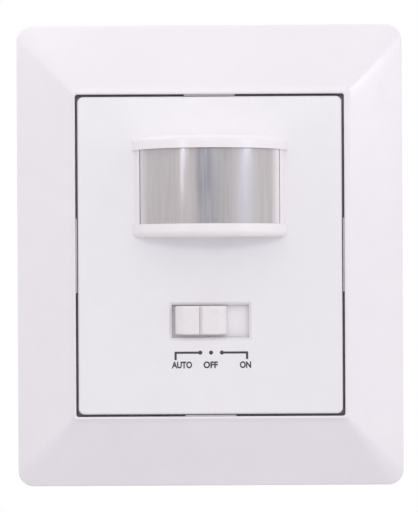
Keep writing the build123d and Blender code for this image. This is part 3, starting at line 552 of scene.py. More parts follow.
@dataclass(frozen=True)
class BandFinish(Finish):
    """A body with painted bands across one axis, and tinned leads beyond its ends."""

    axis: int = 0
    places: tuple[float, ...] = ()
    width: float = 0.8
    edges: Span = (0.45, 0.55)
    paint: Tone = (90, 60, 30)
    body: Span | None = None
    body_edge: float = 0.02
    lead: Tone = (190, 190, 186)

    def pattern(self, w: Wiring, colour: Socket) -> Socket:
        """Paints each band where the distance from its place in millimetres is under half its width.

        The body, given as its middle and half its length, ends where the leads' tone starts.

        Args:
            w: the material's wiring.
            colour: the body's colour.

        Returns:
            The colour with bands and leads.
        """
        value = w.parts()[self.axis]
        for middle in self.places:
            inside = w.spread(w.gap(value, middle), 1.0, 0.0, *(self.width * edge for edge in self.edges))
            colour = w.blend(inside, colour, linear(self.paint))
        if self.body:
            middle, half = self.body
            beyond = w.spread(w.gap(value, middle), 0.0, 1.0, half, half + self.body_edge)
            colour = w.blend(beyond, colour, linear(self.lead))
        return colour


# Surfaces: every new piece is one or more grids of points, in millimetres as x, height and z


def quads(rows: int, columns: int, close_rows: bool = False, close_columns: bool = False) -> np.ndarray:
    """Joins a grid of points into quads.

    Quad (i, j) has the corners (i, j), (i, j + 1), (i + 1, j + 1) and (i + 1, j), and a closed
    direction goes on from the last point to the first.

    Args:
        rows: points down the grid.
        columns: points across it.
        close_rows: whether the last row joins the first.
        close_columns: whether the last column joins the first.

    Returns:
        Point numbers, one row of four for each quad.
    """
    down = np.arange(rows if close_rows else rows - 1)
    across = np.arange(columns if close_columns else columns - 1)
    i, j = np.meshgrid(down, across, indexing="ij")
    below, beside = (i + 1) % rows, (j + 1) % columns
    corners = (i * columns + j, i * columns + beside, below * columns + beside, below * columns + j)
    return np.stack(corners, axis=-1).reshape(-1, 4)


def rounded_loop(
    half: np.ndarray, radius: np.ndarray, corner_steps: int = 10, side_steps: int = 7
) -> np.ndarray:
    """Points round rectangles with rounded corners, counterclockwise as seen from the room.

    A corner point is the corner's centre, half minus radius on both axes, plus radius times
    (cos t, sin t). Between two corners the sides run straight, with points that crowd at their ends.

    Args:
        half: half width and half height of each loop, shape (loops, 2).
        radius: corner radius of each loop, shape (loops,).
        corner_steps: points in a corner.
        side_steps: points on a side between its corners.

    Returns:
        x and z of each point, shape (loops, points, 2).
    """
    turn = (np.arange(4)[:, None] + np.linspace(0, 1, corner_steps)[None]) * np.pi / 2
    unit = np.stack([np.cos(turn), np.sin(turn)], axis=-1)
    sign = np.array([(1, 1), (-1, 1), (-1, -1), (1, -1)])[:, None]
    radius = np.asarray(radius, float)[:, None, None, None]
    corner = sign * (np.asarray(half)[:, None, None] - radius) + radius * unit
    share = (1 - np.cos(np.linspace(0, np.pi, side_steps + 2)[1:-1])) / 2
    share = share[None, None, :, None]
    side = corner[:, :, -1:] * (1 - share) + np.roll(corner[:, :, :1], -1, axis=1) * share
    return np.concatenate([corner, side], axis=2).reshape(len(half), -1, 2)


def arc(centre: Span, radius: float, start: float, end: float, steps: int) -> np.ndarray:
    """Points on a circle: centre plus radius times (cos t, sin t), t from start to end in degrees."""
    t = np.radians(np.linspace(start, end, steps))
    return np.stack([centre[0] + radius * np.cos(t), centre[1] + radius * np.sin(t)], axis=-1)


def at_place(x: np.ndarray, height: np.ndarray, z: np.ndarray) -> np.ndarray:
    """Turns x, height above the wall and z, in millimetres, into points in metres."""
    x, height, z = np.broadcast_arrays(x, height, z)
    return np.stack([x, -height, z], axis=-1).reshape(-1, 3) * MM


def triangles(mesh: bpy.types.Mesh) -> Shell:
    """Reads a mesh as triangles.

    Args:
        mesh: the mesh, which stays as it is.

    Returns:
        Its points and the point numbers of its triangles.
    """
    points = np.empty(len(mesh.vertices) * 3, np.float32)
    mesh.vertices.foreach_get("co", points)
    mesh.calc_loop_triangles()
    corners = np.empty(len(mesh.loop_triangles) * 3, np.int32)
    mesh.loop_triangles.foreach_get("vertices", corners)
    return points.reshape(-1, 3), corners.reshape(-1, 3)


def finished(
    name: str,
    shells: list[Shell],
    finish: Finish,
    body: str = "housing",
    flat_above: float = 35.0,
) -> bpy.types.Object:
    """Makes one finished piece of one or more shells.

    The shells go into one mesh, points closer than WELD millimetres become one, and the faces turn
    outwards. Edges that bend by more than flat_above degrees stay sharp.

    Args:
        name: the piece's name.
        shells: points in metres and faces of each shell.
        finish: its finish.
        body: the body that it rides on.
        flat_above: largest bend that is shaded smooth, in degrees.

    Returns:
        The new object.
    """
    counts = np.cumsum([0] + [len(points) for points, _ in shells])
    faces = [(ring + start).tolist() for (_, ring), start in zip(shells, counts)]
    mesh = bpy.data.meshes.new(name)
    mesh.from_pydata(np.concatenate([points for points, _ in shells]).tolist(), [], sum(faces, []))
    form = bmesh.new()
    form.from_mesh(mesh)
    bmesh.ops.remove_doubles(form, verts=form.verts, dist=WELD * MM)
    bmesh.ops.recalc_face_normals(form, faces=form.faces)
    form.to_mesh(mesh)
    form.free()
    mesh.polygons.foreach_set("use_smooth", np.ones(len(mesh.polygons), bool))
    mesh.set_sharp_from_angle(angle=math.radians(flat_above))
    mesh.materials.append(finish.material())
    made = bpy.data.objects.new(name, mesh)
    bpy.context.collection.objects.link(made)
    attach(made, body)
    LOG.info("%s: %d faces, %s", name, len(mesh.polygons), finish.name)
    return made


def hat(
    across: np.ndarray, along: np.ndarray, foot: float, rim: np.ndarray
) -> tuple[np.ndarray, np.ndarray, np.ndarray]:
    """A crown that a section makes as it is carried along z, on the loops of its rim.

    The point at (i, j) has the x of section point j times the width share of row i, the height
    foot + (height of j - foot) times the height share of row i, and the z of row i. The grid's edge
    is a loop at the foot. The rim's loops follow it, each with its own scale and height.

    Args:
        across: x and height of the section, shape (n, 2).
        along: z, height share and width share of each row, shape (m, 3).
        foot: height where the crown starts.
        rim: x scale, z scale and height of each loop after the crown's edge, shape (k, 3).

    Returns:
        The crown's points as x, height and z, the faces, and the point numbers of the last loop.
    """
    z, rise, width = along[:, 0:1], along[:, 1:2], along[:, 2:3]
    x = across[None, :, 0] * width
    height = foot + (across[None, :, 1] - foot) * rise
    crown = np.stack([x, height, np.broadcast_to(z, x.shape)], axis=-1)
    m, n = x.shape
    number = np.arange(m * n).reshape(m, n)
    edge = np.concatenate([number[0, :-1], number[:-1, -1], number[-1, :0:-1], number[:0:-1, 0]])
    middle = (z.min() + z.max()) / 2
    base = crown.reshape(-1, 3)[edge]
    flat = np.ones(len(edge))
    loops = [
        np.stack([base[:, 0] * wide, flat * level, middle + (base[:, 2] - middle) * high], axis=-1)
        for wide, high, level in rim
    ]
    points = np.concatenate([crown.reshape(-1, 3), *loops])
    strips = quads(1 + len(rim), len(edge), close_columns=True)
    numbers = np.concatenate([edge, m * n + np.arange(len(rim) * len(edge))])
    faces = np.concatenate([quads(m, n), numbers[strips]])
    return points, faces, numbers[len(rim) * len(edge) :]


MOULDED, DRAWN, FLECKED = Surface
FLOOR_PAPER = Finish(
    "floor paper", MOULDED, (218, 217, 220), (215, 214, 217), 0.7, scale=900.0, depth=0.05
)
# Painted shade deep in the joint round the plate and on the slide window's walls, for the frame and the
# plate.
JOINT_SHADE = (156, 149, 150)
FRAME_PLASTIC = Finish(
    "frame plastic", MOULDED, (240, 235, 241), (237, 232, 238), 0.34, 0.03,
    coat=0.25, coat_roughness=0.16, recess=JOINT_SHADE,
)
# The plate's hood tone is painted light: the hood is the same plastic, given a warmer tone where it stands
# out.
PLATE_PLASTIC = PlateFinish(
    "plate plastic", MOULDED, (241, 238, 243), (238, 235, 240), 0.34, 0.03,
    coat=0.25, coat_roughness=0.16, recess=JOINT_SHADE, hood=(242, 238, 241),
)
LENS_PLASTIC = LensFinish(
    "lens plastic", MOULDED, (191, 184, 184), (187, 180, 181), 0.3, 0.03,
    clear=0.08, coat=1.0, coat_roughness=0.13,
)
# The knob's recess tone is painted light: it makes the flange, deep in the slide window, lighter.
KNOB_PLASTIC = Finish(
    "knob plastic", MOULDED, (239, 234, 237), (236, 231, 235), 0.3, 0.04,
    coat=0.3, hairs=0.06, recess=(251, 247, 252),
)
PRINT_INK = Finish("print ink", MOULDED, (62, 58, 64), (56, 53, 59), 0.5, 0.06, 5000.0, 0.003)
CHASSIS_PLASTIC = Finish(
    "chassis plastic", MOULDED, (228, 226, 227), (222, 220, 221), 0.48, 0.06, 2200.0, 0.01
)
HOUSING_PLASTIC = Finish(
    "housing plastic", MOULDED, (214, 213, 211), (205, 204, 202), 0.52, 0.07, 1800.0, 0.02
)
HOLDER_PLASTIC = Finish("holder plastic", MOULDED, (224, 223, 217), (217, 216, 210), 0.5, 0.05)
BLACK_PLASTIC = Finish("black plastic", MOULDED, (30, 30, 32), (22, 22, 24), 0.45, 0.08, 2600.0, 0.01)
TERMINAL_PLASTIC = Finish(
    "terminal plastic", MOULDED, (218, 217, 212), (208, 207, 202), 0.46, 0.06, 2400.0, 0.01
)
TRIMMER_BLUE = Finish("trimmer blue", MOULDED, (38, 88, 176), (30, 76, 160), 0.4, 0.06)
ROTOR_WHITE = Finish("rotor white", MOULDED, (236, 235, 230), (228, 227, 222), 0.42, 0.05, hairs=0.3)
RELAY_BLUE = Finish("relay blue", MOULDED, (36, 92, 172), (30, 80, 156), 0.34, 0.05, coat=0.2)
BRACKET_STEEL = Finish(
    "bracket steel", DRAWN, (206, 208, 212), (180, 183, 189), 0.34, 0.1, 2600.0, 0.012, metal=1.0, hairs=0.2
)
SCREW_STEEL = Finish(
    "screw steel", DRAWN, (214, 208, 186), (190, 184, 164), 0.3, 0.1, 4200.0, 0.006, metal=1.0, hairs=0.3
)
SWITCH_STEEL = Finish(
    "switch steel", DRAWN, (204, 205, 207), (184, 185, 188), 0.28, 0.08, 3600.0, 0.006, metal=1.0
)
SENSOR_CAN = Finish(
    "sensor can", DRAWN, (208, 208, 210), (188, 188, 192), 0.26, 0.08, 4200.0, 0.004, metal=1.0
)
CLAMP_BRASS = Finish(
    "clamp brass", DRAWN, (222, 194, 122), (200, 170, 96), 0.3, 0.1, 3000.0, 0.008, metal=1.0
)
SENSOR_WINDOW = Finish(
    "sensor window", MOULDED, (44, 38, 46), (36, 31, 38), 0.12, 0.03, coat=0.8, coat_roughness=0.04
)
LED_RED = Finish("led red", MOULDED, (206, 40, 38), (190, 30, 30), 0.14, 0.03, clear=0.35, ior=1.54)
LIGHT_SENSOR_RESIN = Finish(
    "light sensor resin", MOULDED, (204, 208, 200), (196, 200, 190), 0.12, 0.03, clear=0.4, ior=1.54
)
PHENOLIC = Finish("phenolic", FLECKED, (118, 78, 48), (76, 46, 28), 0.45, 0.5, 2200.0, 0.01)
VARISTOR_EPOXY = Finish(
    "varistor epoxy", FLECKED, (38, 84, 150), (80, 122, 178), 0.36, 0.5, 1800.0, 0.03
)
FILM_YELLOW = Finish(
    "film yellow", MOULDED, (228, 180, 44), (218, 168, 34), 0.36, 0.05, 1600.0, 0.02, coat=0.2
)
RESISTOR_COAT = BandFinish(
    "resistor coat", MOULDED, (204, 176, 128), (192, 162, 114), 0.4, 0.05, axis=0,
    places=(-3.4, -1.9, -0.4, 1.6), width=0.7, body=(-1.0, 4.0),
)
DIODE_BODY = BandFinish(
    "diode body", MOULDED, (34, 34, 36), (26, 26, 28), 0.38, 0.05, axis=2,
    places=(-2.8,), width=0.8, paint=(186, 188, 190), body=(-4.475, 2.5),
)
CAPACITOR_SLEEVE = BandFinish(
    "capacitor sleeve", MOULDED, (28, 34, 62), (22, 27, 52), 0.3, 0.04, coat=0.3, axis=0,
    places=(10.4,), width=1.6, paint=(170, 174, 190),
)
FUSE_TUBE = BandFinish(
    "fuse tube and caps", MOULDED, (206, 200, 178), (186, 180, 158), 0.28, 0.06, axis=0,
    places=(-12.8,), width=5.2, paint=(232, 230, 222), body=(-12.8, 5.0),
)
BOARD_MASK = BoardFinish(
    "board mask", FLECKED, (24, 86, 48), (44, 112, 68), 0.3, 0.3, 1500.0, 0.012, coat=0.3
)


class Assembly:
    """A sub-assembly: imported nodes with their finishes, and new pieces where it has any."""

    finishes: dict[str, Finish] = {}

    def build(self) -> None:
        """Makes the new pieces, where the sub-assembly has any."""

    def dress(self) -> None:
        """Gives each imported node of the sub-assembly its finish."""
        for node, finish in self.finishes.items():
            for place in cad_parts[node].material_slots:
                place.material = finish.material()
            LOG.info("%s: %s", node, finish.name)


@dataclass
class Surround(Assembly):
    """The bevelled outer frame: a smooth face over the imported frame's back.

    Lengths are millimetres, here and in the other sub-assemblies, and heights are above the wall.
    """

    outer: Span = (40.0, 47.8)
    outer_radius: float = 3.2
    opening: Span = (27.5, 32.95)
    opening_radius: float = 0.5
    edge_height: float = 2.3
    edge_round: float = 0.6
    face_height: float = 9.0
    crest: float = 0.3
    crown: float = 0.06
    flange_top: float = 6.2
    shell: float = 1.4
    slope_reach: Span = (0.05, 0.955)
    slope_steps: int = 14
    round_steps: int = 8
    wall_foot: float = 7.4
    wall_gaps: Span = (0.02, 0.04)
    flange_width: float = 0.5
    flange_gap: float = 0.1
    foot_step: float = 0.3
    foot_lift: float = 0.03

    finishes = {"outer_frame": FRAME_PLASTIC}

    def build(self) -> None:
        """Makes the face and the back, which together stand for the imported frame."""
        points, corners = triangles(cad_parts["outer_frame"].data)
        rest = (points, corners[~self.on_face(points, corners)])
        back = finished("frame_back", [rest], FRAME_PLASTIC)
        face = finished("frame_face", [self.face()], FRAME_PLASTIC, flat_above=50)
        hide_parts("outer_frame")
        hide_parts("outer_frame")

    def reach(self, x: np.ndarray, z: np.ndarray, half: Span, radius: float) -> np.ndarray:
        """Distance outside a rounded rectangle, less than 0 inside it.

        With p as what x and z pass the corner's centre by, it is the length of p where that is above
        0, plus the larger part of p where both are below 0, less the radius.

        Args:
            x: places across.
            z: places up.
            half: half width and half height of the rectangle.
            radius: its corner radius.

        Returns:
            The distance of each place.
        """
        past = np.stack([np.abs(x) - half[0] + radius, np.abs(z) - half[1] + radius])
        outside = np.hypot(*np.maximum(past, 0))
        return outside + np.minimum(past.max(axis=0), 0) - radius

    def on_face(self, points: np.ndarray, corners: np.ndarray) -> np.ndarray:
        """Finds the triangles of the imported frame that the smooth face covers.

        Those are the ones that look to the room outside the opening, those on the upright edge, and
        those of the opening's wall that reach its top. The limits below are millimetres, apart from
        the least part of a triangle's normal that points to the room.

        Args:
            points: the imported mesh's points in metres.
            corners: point numbers of its triangles.

        Returns:
            True for each covered triangle.
        """
        corner, beside, lowest, facing_least = 0.4, 0.02, 1.5, 0.3
        on_wall, below_top, on_edge = 0.05, 0.5, 0.06
        p = points[corners] / MM
        middle = p.mean(axis=1)
        facing = np.cross(p[:, 1] - p[:, 0], p[:, 2] - p[:, 0])
        facing /= np.linalg.norm(facing, axis=1, keepdims=True) + TINY
        inner = self.reach(middle[:, 0], middle[:, 2], self.opening, corner)
        outer = self.reach(middle[:, 0], middle[:, 2], self.outer, self.outer_radius)
        roof = (facing[:, 1] < -facing_least) & (inner > beside) & (-middle[:, 1] > lowest)
        reaches_top = -p[:, :, 1].min(axis=1) > self.face_height - below_top
        return roof | ((np.abs(inner) < on_wall) & reaches_top) | (outer > -on_edge)

    def face(self) -> Shell:
        """The face as one closed profile carried round rounded rectangles.

        A profile point has a share t from the outline, 0, to the opening, 1, and a height. Its loop has
        the half sizes and the corner radius that lie t of the way between the two outlines, so the
        mitres are soft ridges. The slope is a straight line plus crown times sin(pi t).

        Returns:
            Points in metres and faces.
        """
        run = np.array(self.outer) - np.array(self.opening)
        mean = float(run.mean())
        rise = self.face_height - self.edge_height
        tilt = math.degrees(math.atan2(rise, mean))
        t = np.linspace(*self.slope_reach, self.slope_steps)
        slope = np.stack([t * mean, self.edge_height + rise * t + self.crown * np.sin(np.pi * t)], axis=-1)
        back_off = self.edge_round * math.tan(math.radians(90 - tilt) / 2)
        centre = (self.edge_round, self.edge_height - back_off)
        edge = arc(centre, self.edge_round, 180, 90 + tilt, self.round_steps)
        crest = (mean - self.crest, self.face_height - self.crest)
        top = arc(crest, self.crest, 90 + tilt, 0, self.round_steps)
        top[:, 0] = np.minimum(top[:, 0], mean)
        seat = self.flange_top - self.flange_gap
        near, far = self.wall_gaps
        inside = [(mean - near, self.wall_foot), (mean - far, seat), (mean - self.flange_width, seat)]
        under = slope[::-3] - (0, self.shell)
        ledge = self.edge_height - self.shell + self.foot_step
        foot = [(self.shell, ledge), (self.shell, self.foot_lift), (0.0, self.foot_lift)]
        profile = np.concatenate([edge, slope, top, inside, under, foot])
        share = profile[:, 0] / mean
        half = np.array(self.outer)[None] - share[:, None] * run[None]
        radius = self.outer_radius + (self.opening_radius - self.outer_radius) * np.clip(share, 0, 1)
        loops = rounded_loop(half, radius)
        points = at_place(loops[..., 0], profile[:, 1:2], loops[..., 1])
        return points, quads(*loops.shape[:2], close_rows=True, close_columns=True)


@dataclass
class FrontPlate(Assembly):
    """The inset cover with the sensor hood and the printed marks.

    The print stands out of the plate by the ink's thickness, and reaches into it by what is sunk.
    """

    front: float = 9.0
    ink: float = 0.02
    sunk: float = 0.01
    line: float = 0.44
    boldness: float = 0.04
    dot: float = 0.42
    dots_z: float = -19.9
    dots_x: tuple[float, float, float] = (-2.1, 0.1, 2.3)
    brackets: tuple[Span, ...] = ((-7.15, -21.4), (7.46, -21.25))
    words: tuple[tuple[str, float, float], ...] = (
        ("AUTO", -7.95, -3.8),
        ("OFF", -1.45, 1.47),
        ("ON", 5.97, 8.28),
    )
    words_z: Span = (-23.1, -21.7)

    finishes = {"front_plate": PLATE_PLASTIC, "lens_retainer": CHASSIS_PLASTIC}

    def build(self) -> None:
        """Prints the marks for the three positions on the plate."""
        first_and_last = self.dots_x[::2]
        shells = []
        for (x, low), start in zip(self.brackets, first_and_last):
            shells.append(self.stroke(np.array([(x, low), (x, self.dots_z), (start, self.dots_z)])))
        shells += [self.spot(x) for x in self.dots_x]
        finished("position_marks", shells, PRINT_INK)
        for word, left, right in self.words:
            letters = self.lettering(word, left, right)
            finished("mark_" + word.lower(), [letters], PRINT_INK, flat_above=5)

    def stroke(self, path: np.ndarray) -> Shell:
        """A printed line of even width along a path with square turns.

        At each point the edge lies at half the width times (n + m) / (1 + n . m) from the path, n and m
        being the normals before and after it.

        Args:
            path: x and z of the path's points.

        Returns:
            Points in metres and faces.
        """
        step = np.diff(path, axis=0)
        step /= np.linalg.norm(step, axis=1, keepdims=True)
        normal = np.stack([-step[:, 1], step[:, 0]], axis=-1)
        before, after = np.vstack([normal[:1], normal]), np.vstack([normal, normal[-1:]])
        mitre = (before + after) / (1 + (before * after).sum(axis=1, keepdims=True)) * self.line / 2
        ring = np.stack([path + mitre, path + mitre, path - mitre, path - mitre], axis=1)
        height = self.front + np.array([-self.sunk, self.ink, self.ink, -self.sunk])
        points = at_place(ring[..., 0], height[None], ring[..., 1])
        last = 4 * (len(path) - 1)
        ends = np.array([(0, 1, 2, 3), (last + 3, last + 2, last + 1, last)])
        return points, np.concatenate([quads(len(path), 4, close_columns=True), ends])

    def spot(self, x: float) -> Shell:
        """A printed dot, its height falling to the plate over the last tenth of its radius.

        Args:
            x: place of the dot's centre.

        Returns:
            Points in metres and faces.
        """
        steps = 24
        turn = np.linspace(0, 2 * np.pi, steps, endpoint=False)[None]
        radius = self.dot * np.array([0.02, 0.6, 0.9, 1.0, 1.0, 0.02])[:, None]
        height = self.front + np.array([1.1, 1.1, 1.0, 0.5, -0.5, -0.5])[:, None] * self.ink
        points = at_place(x + radius * np.cos(turn), height, self.dots_z + radius * np.sin(turn))
        return points, quads(len(radius), steps, close_rows=True, close_columns=True)

    def lettering(self, word: str, left: float, right: float) -> Shell:
        """A printed word, fitted between two places across and the words' lines up and down.

        Its thickness is fitted too, so what it is extruded by only has to be above 0.

        Args:
            word: the word.
            left: x where it starts.
            right: x where it ends.

        Returns:
            Points in metres and triangles.
        """
        text = bpy.data.curves.new(word, "FONT")
        text.body = word
        text.extrude = 0.5
        text.offset = self.boldness
        text.resolution_u = 6
        maker = bpy.data.objects.new(word, text)
        mesh = bpy.data.meshes.new_from_object(maker)
        points, corners = triangles(mesh)
        bpy.data.objects.remove(maker)
        bpy.data.curves.remove(text)
        bpy.data.meshes.remove(mesh)
        low, high = points.min(axis=0), points.max(axis=0)
        share = (points - low) / (high - low)
        x = left + share[:, 0] * (right - left)
        z = self.words_z[0] + share[:, 1] * (self.words_z[1] - self.words_z[0])
        height = self.front - self.sunk + share[:, 2] * (self.ink + self.sunk)
        return at_place(x, height, z), corners


@dataclass
class SensorLens(Assembly):
    """The curved lens: a thin hollow cap with fine lens cells moulded inside.

    The inner arc's sag is less than the outer one's by the shoulder's share of the wall.
    """

    half_width: float = 14.12
    middle_x: float = 0.02
    middle_z: float = 13.905
    half_height: float = 7.52
    front: float = 20.2
    shoulder: float = 12.2
    foot: float = 7.2
    flange: float = 0.8
    flange_margin: float = 2.3
    wall: float = 0.7
    barrel: float = 0.01
    shoulder_share: float = 0.4
    cells: tuple[int, int] = (7, 3)
    groove_pitch: float = 1.0
    groove_depth: float = 0.03
    groove_margin: float = 0.1
    arc_steps: int = 193
    side_steps: int = 6
    row_steps: int = 97
    end_rises: tuple[float, ...] = (0.0, 0.5, 0.9, 0.985)

    finishes = {"fresnel_lens": LENS_PLASTIC}

    def build(self) -> None:
        """Makes the lens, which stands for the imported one."""
        outer, faces, last = self.shell(0.0, 0.0)
        inner, inner_faces, inner_last = self.shell(self.wall, self.flange)
        inner_last = inner_last + len(outer)
        joint = np.stack([last, np.roll(last, -1), np.roll(inner_last, -1), inner_last], axis=-1)
        faces = np.concatenate([faces, inner_faces + len(outer), joint])
        points = np.concatenate([outer, self.celled(inner)]) + (self.middle_x, 0, 0)
        made = finished("lens", [(at_place(*points.T), faces)], LENS_PLASTIC, flat_above=40)
        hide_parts("fresnel_lens")

    def shell(self, inset: float, drop: float) -> tuple[np.ndarray, np.ndarray, np.ndarray]:
        """One wall surface of the cap.

        Its section is an arc through both shoulders and the front, with straight sides to the foot. The
        radius is (w w + s s) / (2 s) for the half width w and the sag s. Towards the top and bottom the
        height falls by the barrel's share times the square of the way there.

        Args:
            inset: distance inside the outer surface.
            drop: how far the foot lies behind the plate's back.

        Returns:
            Points, faces and the numbers of the last rim loop.
        """
        half, front = self.half_width - inset, self.front - inset
        sag = self.front - self.shoulder - inset * self.shoulder_share
        radius = (half**2 + sag**2) / (2 * sag)
        reach = math.degrees(math.asin(half / radius))
        curve = arc((0.0, front - radius), radius, 90 + reach, 90 - reach, self.arc_steps)
        foot = self.foot - drop
        side = np.linspace(foot, curve[0, 1], self.side_steps, endpoint=False)
        left = np.stack([np.full(len(side), -half), side], axis=-1)
        across = np.concatenate([left, curve, left[::-1] * (-1, 1)])
        tall = self.half_height - inset
        rows = np.linspace(-1, 1, self.row_steps)
        body = np.stack([rows * tall, 1 - self.barrel * rows**2, np.ones_like(rows)], axis=-1)
        end = np.array([(-tall, rise * (1 - self.barrel), 1.0) for rise in self.end_rises])
        along = np.concatenate([end, body, end[::-1] * (-1, 1, 1)]) + (self.middle_z, 0, 0)
        margin = 0.0 if inset else self.flange_margin
        wide, high = (half + margin) / half, (tall + margin) / tall
        return hat(across, along, foot, np.array([(wide, high, foot)]))

    def celled(self, inner: np.ndarray) -> np.ndarray:
        """Moulds the lens cells into the inner surface.

        The curved surface is divided into columns across and rows up. Inside a cell it goes into the
        wall by the groove depth times (1 - cos(2 pi r / pitch)) / 2, r being the distance from the
        cell's centre.

        Args:
            inner: points of the inner surface as x, height and z.

        Returns:
            The points with the grooves cut towards the front.
        """
        columns, rows = self.cells
        along = inner[:, 0] / self.half_width * columns / 2
        up = (inner[:, 2] - self.middle_z) / self.half_height * rows / 2
        cell = np.stack([along - np.round(along), up - np.round(up)])
        size = np.array([self.half_width * 2 / columns, self.half_height * 2 / rows])
        distance = np.hypot(cell[0] * size[0], cell[1] * size[1])
        depth = (1 - np.cos(2 * np.pi * distance / self.groove_pitch)) / 2 * self.groove_depth
        top = self.half_height - self.wall - self.groove_margin
        curved = (inner[:, 1] > self.shoulder) & (np.abs(inner[:, 2] - self.middle_z) < top)
        out = inner.copy()
        out[:, 1] += np.where(curved, depth, 0)
        return out


@dataclass
class Slider(Assembly):
    """The knob of the slide switch: two flats with a groove between, on a covering flange."""

    middle: Span = (-1.9, -13.25)
    half: Span = (5.3, 2.95)
    front: float = 10.2
    foot: float = 7.1
    bevel: Span = (1.7, 1.15)
    ease: float = 0.12
    groove: tuple[float, float, float] = (-0.46, 0.46, 0.75)
    cliff: float = 0.16
    climb: float = 1.2
    fine: Span = (0.56, 0.62)
    corner: float = 0.45
    edge: float = 0.3
    edge_lift: float = 0.04
    wall_heights: Span = (9.0, 8.0)
    end_rises: tuple[float, ...] = (0.8, 0.4, 0.0)
    fine_steps: int = 41
    coarse_steps: int = 22
    turn_steps: int = 6
    end_steps: int = 8
    row_steps: int = 11
    flange: tuple[float, float, float] = (10.3, 3.8, 0.9)

    finishes = {"slider_knob": KNOB_PLASTIC}

    def build(self) -> None:
        """Makes the knob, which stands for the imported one."""
        points, faces = self.knob()
        points = points + (self.middle[0], 0, self.middle[1])
        shell = (at_place(*points.T), faces)
        made = finished("knob", [shell], KNOB_PLASTIC, body="slider", flat_above=48)
        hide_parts("slider_knob")

    def outline(self, x: np.ndarray) -> np.ndarray:
        """Height of the knob's front at x.

        It is the front less the bevel's drop and less the groove. The drop grows evenly over the bevel's
        width, after a short easing. The groove falls within the cliff's width at its left end and climbs
        to its right end.

        Args:
            x: distance from the knob's middle.

        Returns:
            Heights above the wall.
        """
        side = np.clip((np.abs(x) - self.half[0] + self.bevel[0]) / self.bevel[0], 0, 1)
        soft = np.where(side < self.ease, side**2 / (2 * self.ease), side - self.ease / 2)
        left, right, depth = self.groove
        fall = np.clip((x - left) / self.cliff, 0, 1)
        climb = np.clip((right - x) / (right - left - self.cliff), 0, 1)
        valley = np.minimum(fall**2 * (3 - 2 * fall), climb**self.climb)
        return self.front - self.bevel[1] * soft - depth * valley

    def knob(self) -> Shell:
        """The knob with its flange as one closed shell.

        Its section runs over the front and down both side walls, and is carried from end to end. The
        front's edges at both ends are quarter circles, and the corners draw in by the same way. The
        last loops are the flange, whose back runs together in one point.

        Returns:
            Points round the knob's own middle, and faces.
        """
        groove, beside = self.fine
        fine = np.linspace(-groove, groove, self.fine_steps)
        coarse = np.linspace(beside, self.half[0] - self.edge, self.coarse_steps)
        x = np.concatenate([-coarse[::-1], fine, coarse])
        top = np.stack([x, self.outline(x)], axis=-1)
        end = self.outline(np.array([self.half[0]]))[0]
        centre = (self.half[0] - self.edge, end - self.edge + self.edge_lift)
        turn = arc(centre, self.edge, 80, 0, self.turn_steps)
        wall = [(self.half[0], height) for height in (*self.wall_heights, self.foot)]
        right = np.concatenate([turn, wall])
        across = np.concatenate([right[::-1] * (-1, 1), top, right])
        t = np.radians(np.linspace(0, 90, self.end_steps))
        z = self.half[1] - self.edge + self.edge * np.cos(t)
        rise = 1 - self.edge / (self.front - self.foot) * (1 - np.sin(t))
        past = np.clip((z - self.half[1] + self.corner) / self.corner, 0, 1)
        width = 1 - self.corner / self.half[0] * (1 - np.sqrt(1 - past**2))
        end_wall = np.array([(self.half[1], share, width[0]) for share in self.end_rises])
        upper = np.concatenate([np.column_stack([z, rise, width])[::-1], end_wall])
        rows = np.linspace(-1, 1, self.row_steps + 2)[1:-1] * (self.half[1] - self.edge)
        body = np.column_stack([rows, np.ones((self.row_steps, 2))])
        along = np.concatenate([upper[::-1] * (-1, 1, 1), body, upper])
        wide, high, thick = self.flange
        cover = (wide / (self.half[0] * width[0]), high / self.half[1])
        back = self.foot - thick
        rim = np.array([(*cover, self.foot), (*cover, back), (0.0, 0.0, back)])
        points, faces, _ = hat(across, along, self.foot, rim)
        return points, faces


class WallParts(Assembly):
    """Everything that sits on and in the wall box."""

    finishes = {
        "front_chassis": CHASSIS_PLASTIC,
        "mounting_bracket": BRACKET_STEEL,
        "rear_housing": HOUSING_PLASTIC,
        "housing_screws": SCREW_STEEL,
        "terminal_block": TERMINAL_PLASTIC,
        "terminal_clamps": CLAMP_BRASS,
        "terminal_screws": SCREW_STEEL,
    }


class Electronics(Assembly):
    """Both boards and what stands on them."""

    finishes = {
        "sensor_board": BOARD_MASK,
        "power_board": BOARD_MASK,
        "board_connector": BLACK_PLASTIC,
        "sensor_holder": HOLDER_PLASTIC,
        "pir_sensor_base": SENSOR_CAN,
        "pir_sensor_can": SENSOR_CAN,
        "pir_window": SENSOR_WINDOW,
        "indicator_led": LED_RED,
        "light_sensor": LIGHT_SENSOR_RESIN,
        "detector_chip": BLACK_PLASTIC,
        "slide_switch_shell": SWITCH_STEEL,
        "slide_switch_base": PHENOLIC,
        "slide_switch_actuator": BLACK_PLASTIC,
        "lux_trimmer_body": TRIMMER_BLUE,
        "lux_trimmer_rotor": ROTOR_WHITE,
        "time_trimmer_body": TRIMMER_BLUE,
        "time_trimmer_rotor": ROTOR_WHITE,
        "relay": RELAY_BLUE,
        "film_capacitor": FILM_YELLOW,
        "varistor": VARISTOR_EPOXY,
        "fuse": FUSE_TUBE,
        "reservoir_capacitor": CAPACITOR_SLEEVE,
        "power_resistor": RESISTOR_COAT,
        "rectifier_diodes": DIODE_BODY,
    }


class Reach(Enum):
    """What a lamp acts on: everything, gloss alone, or everything but gloss."""

    ALL = "all"
    GLOSS = "gloss"
    MATT = "matt"


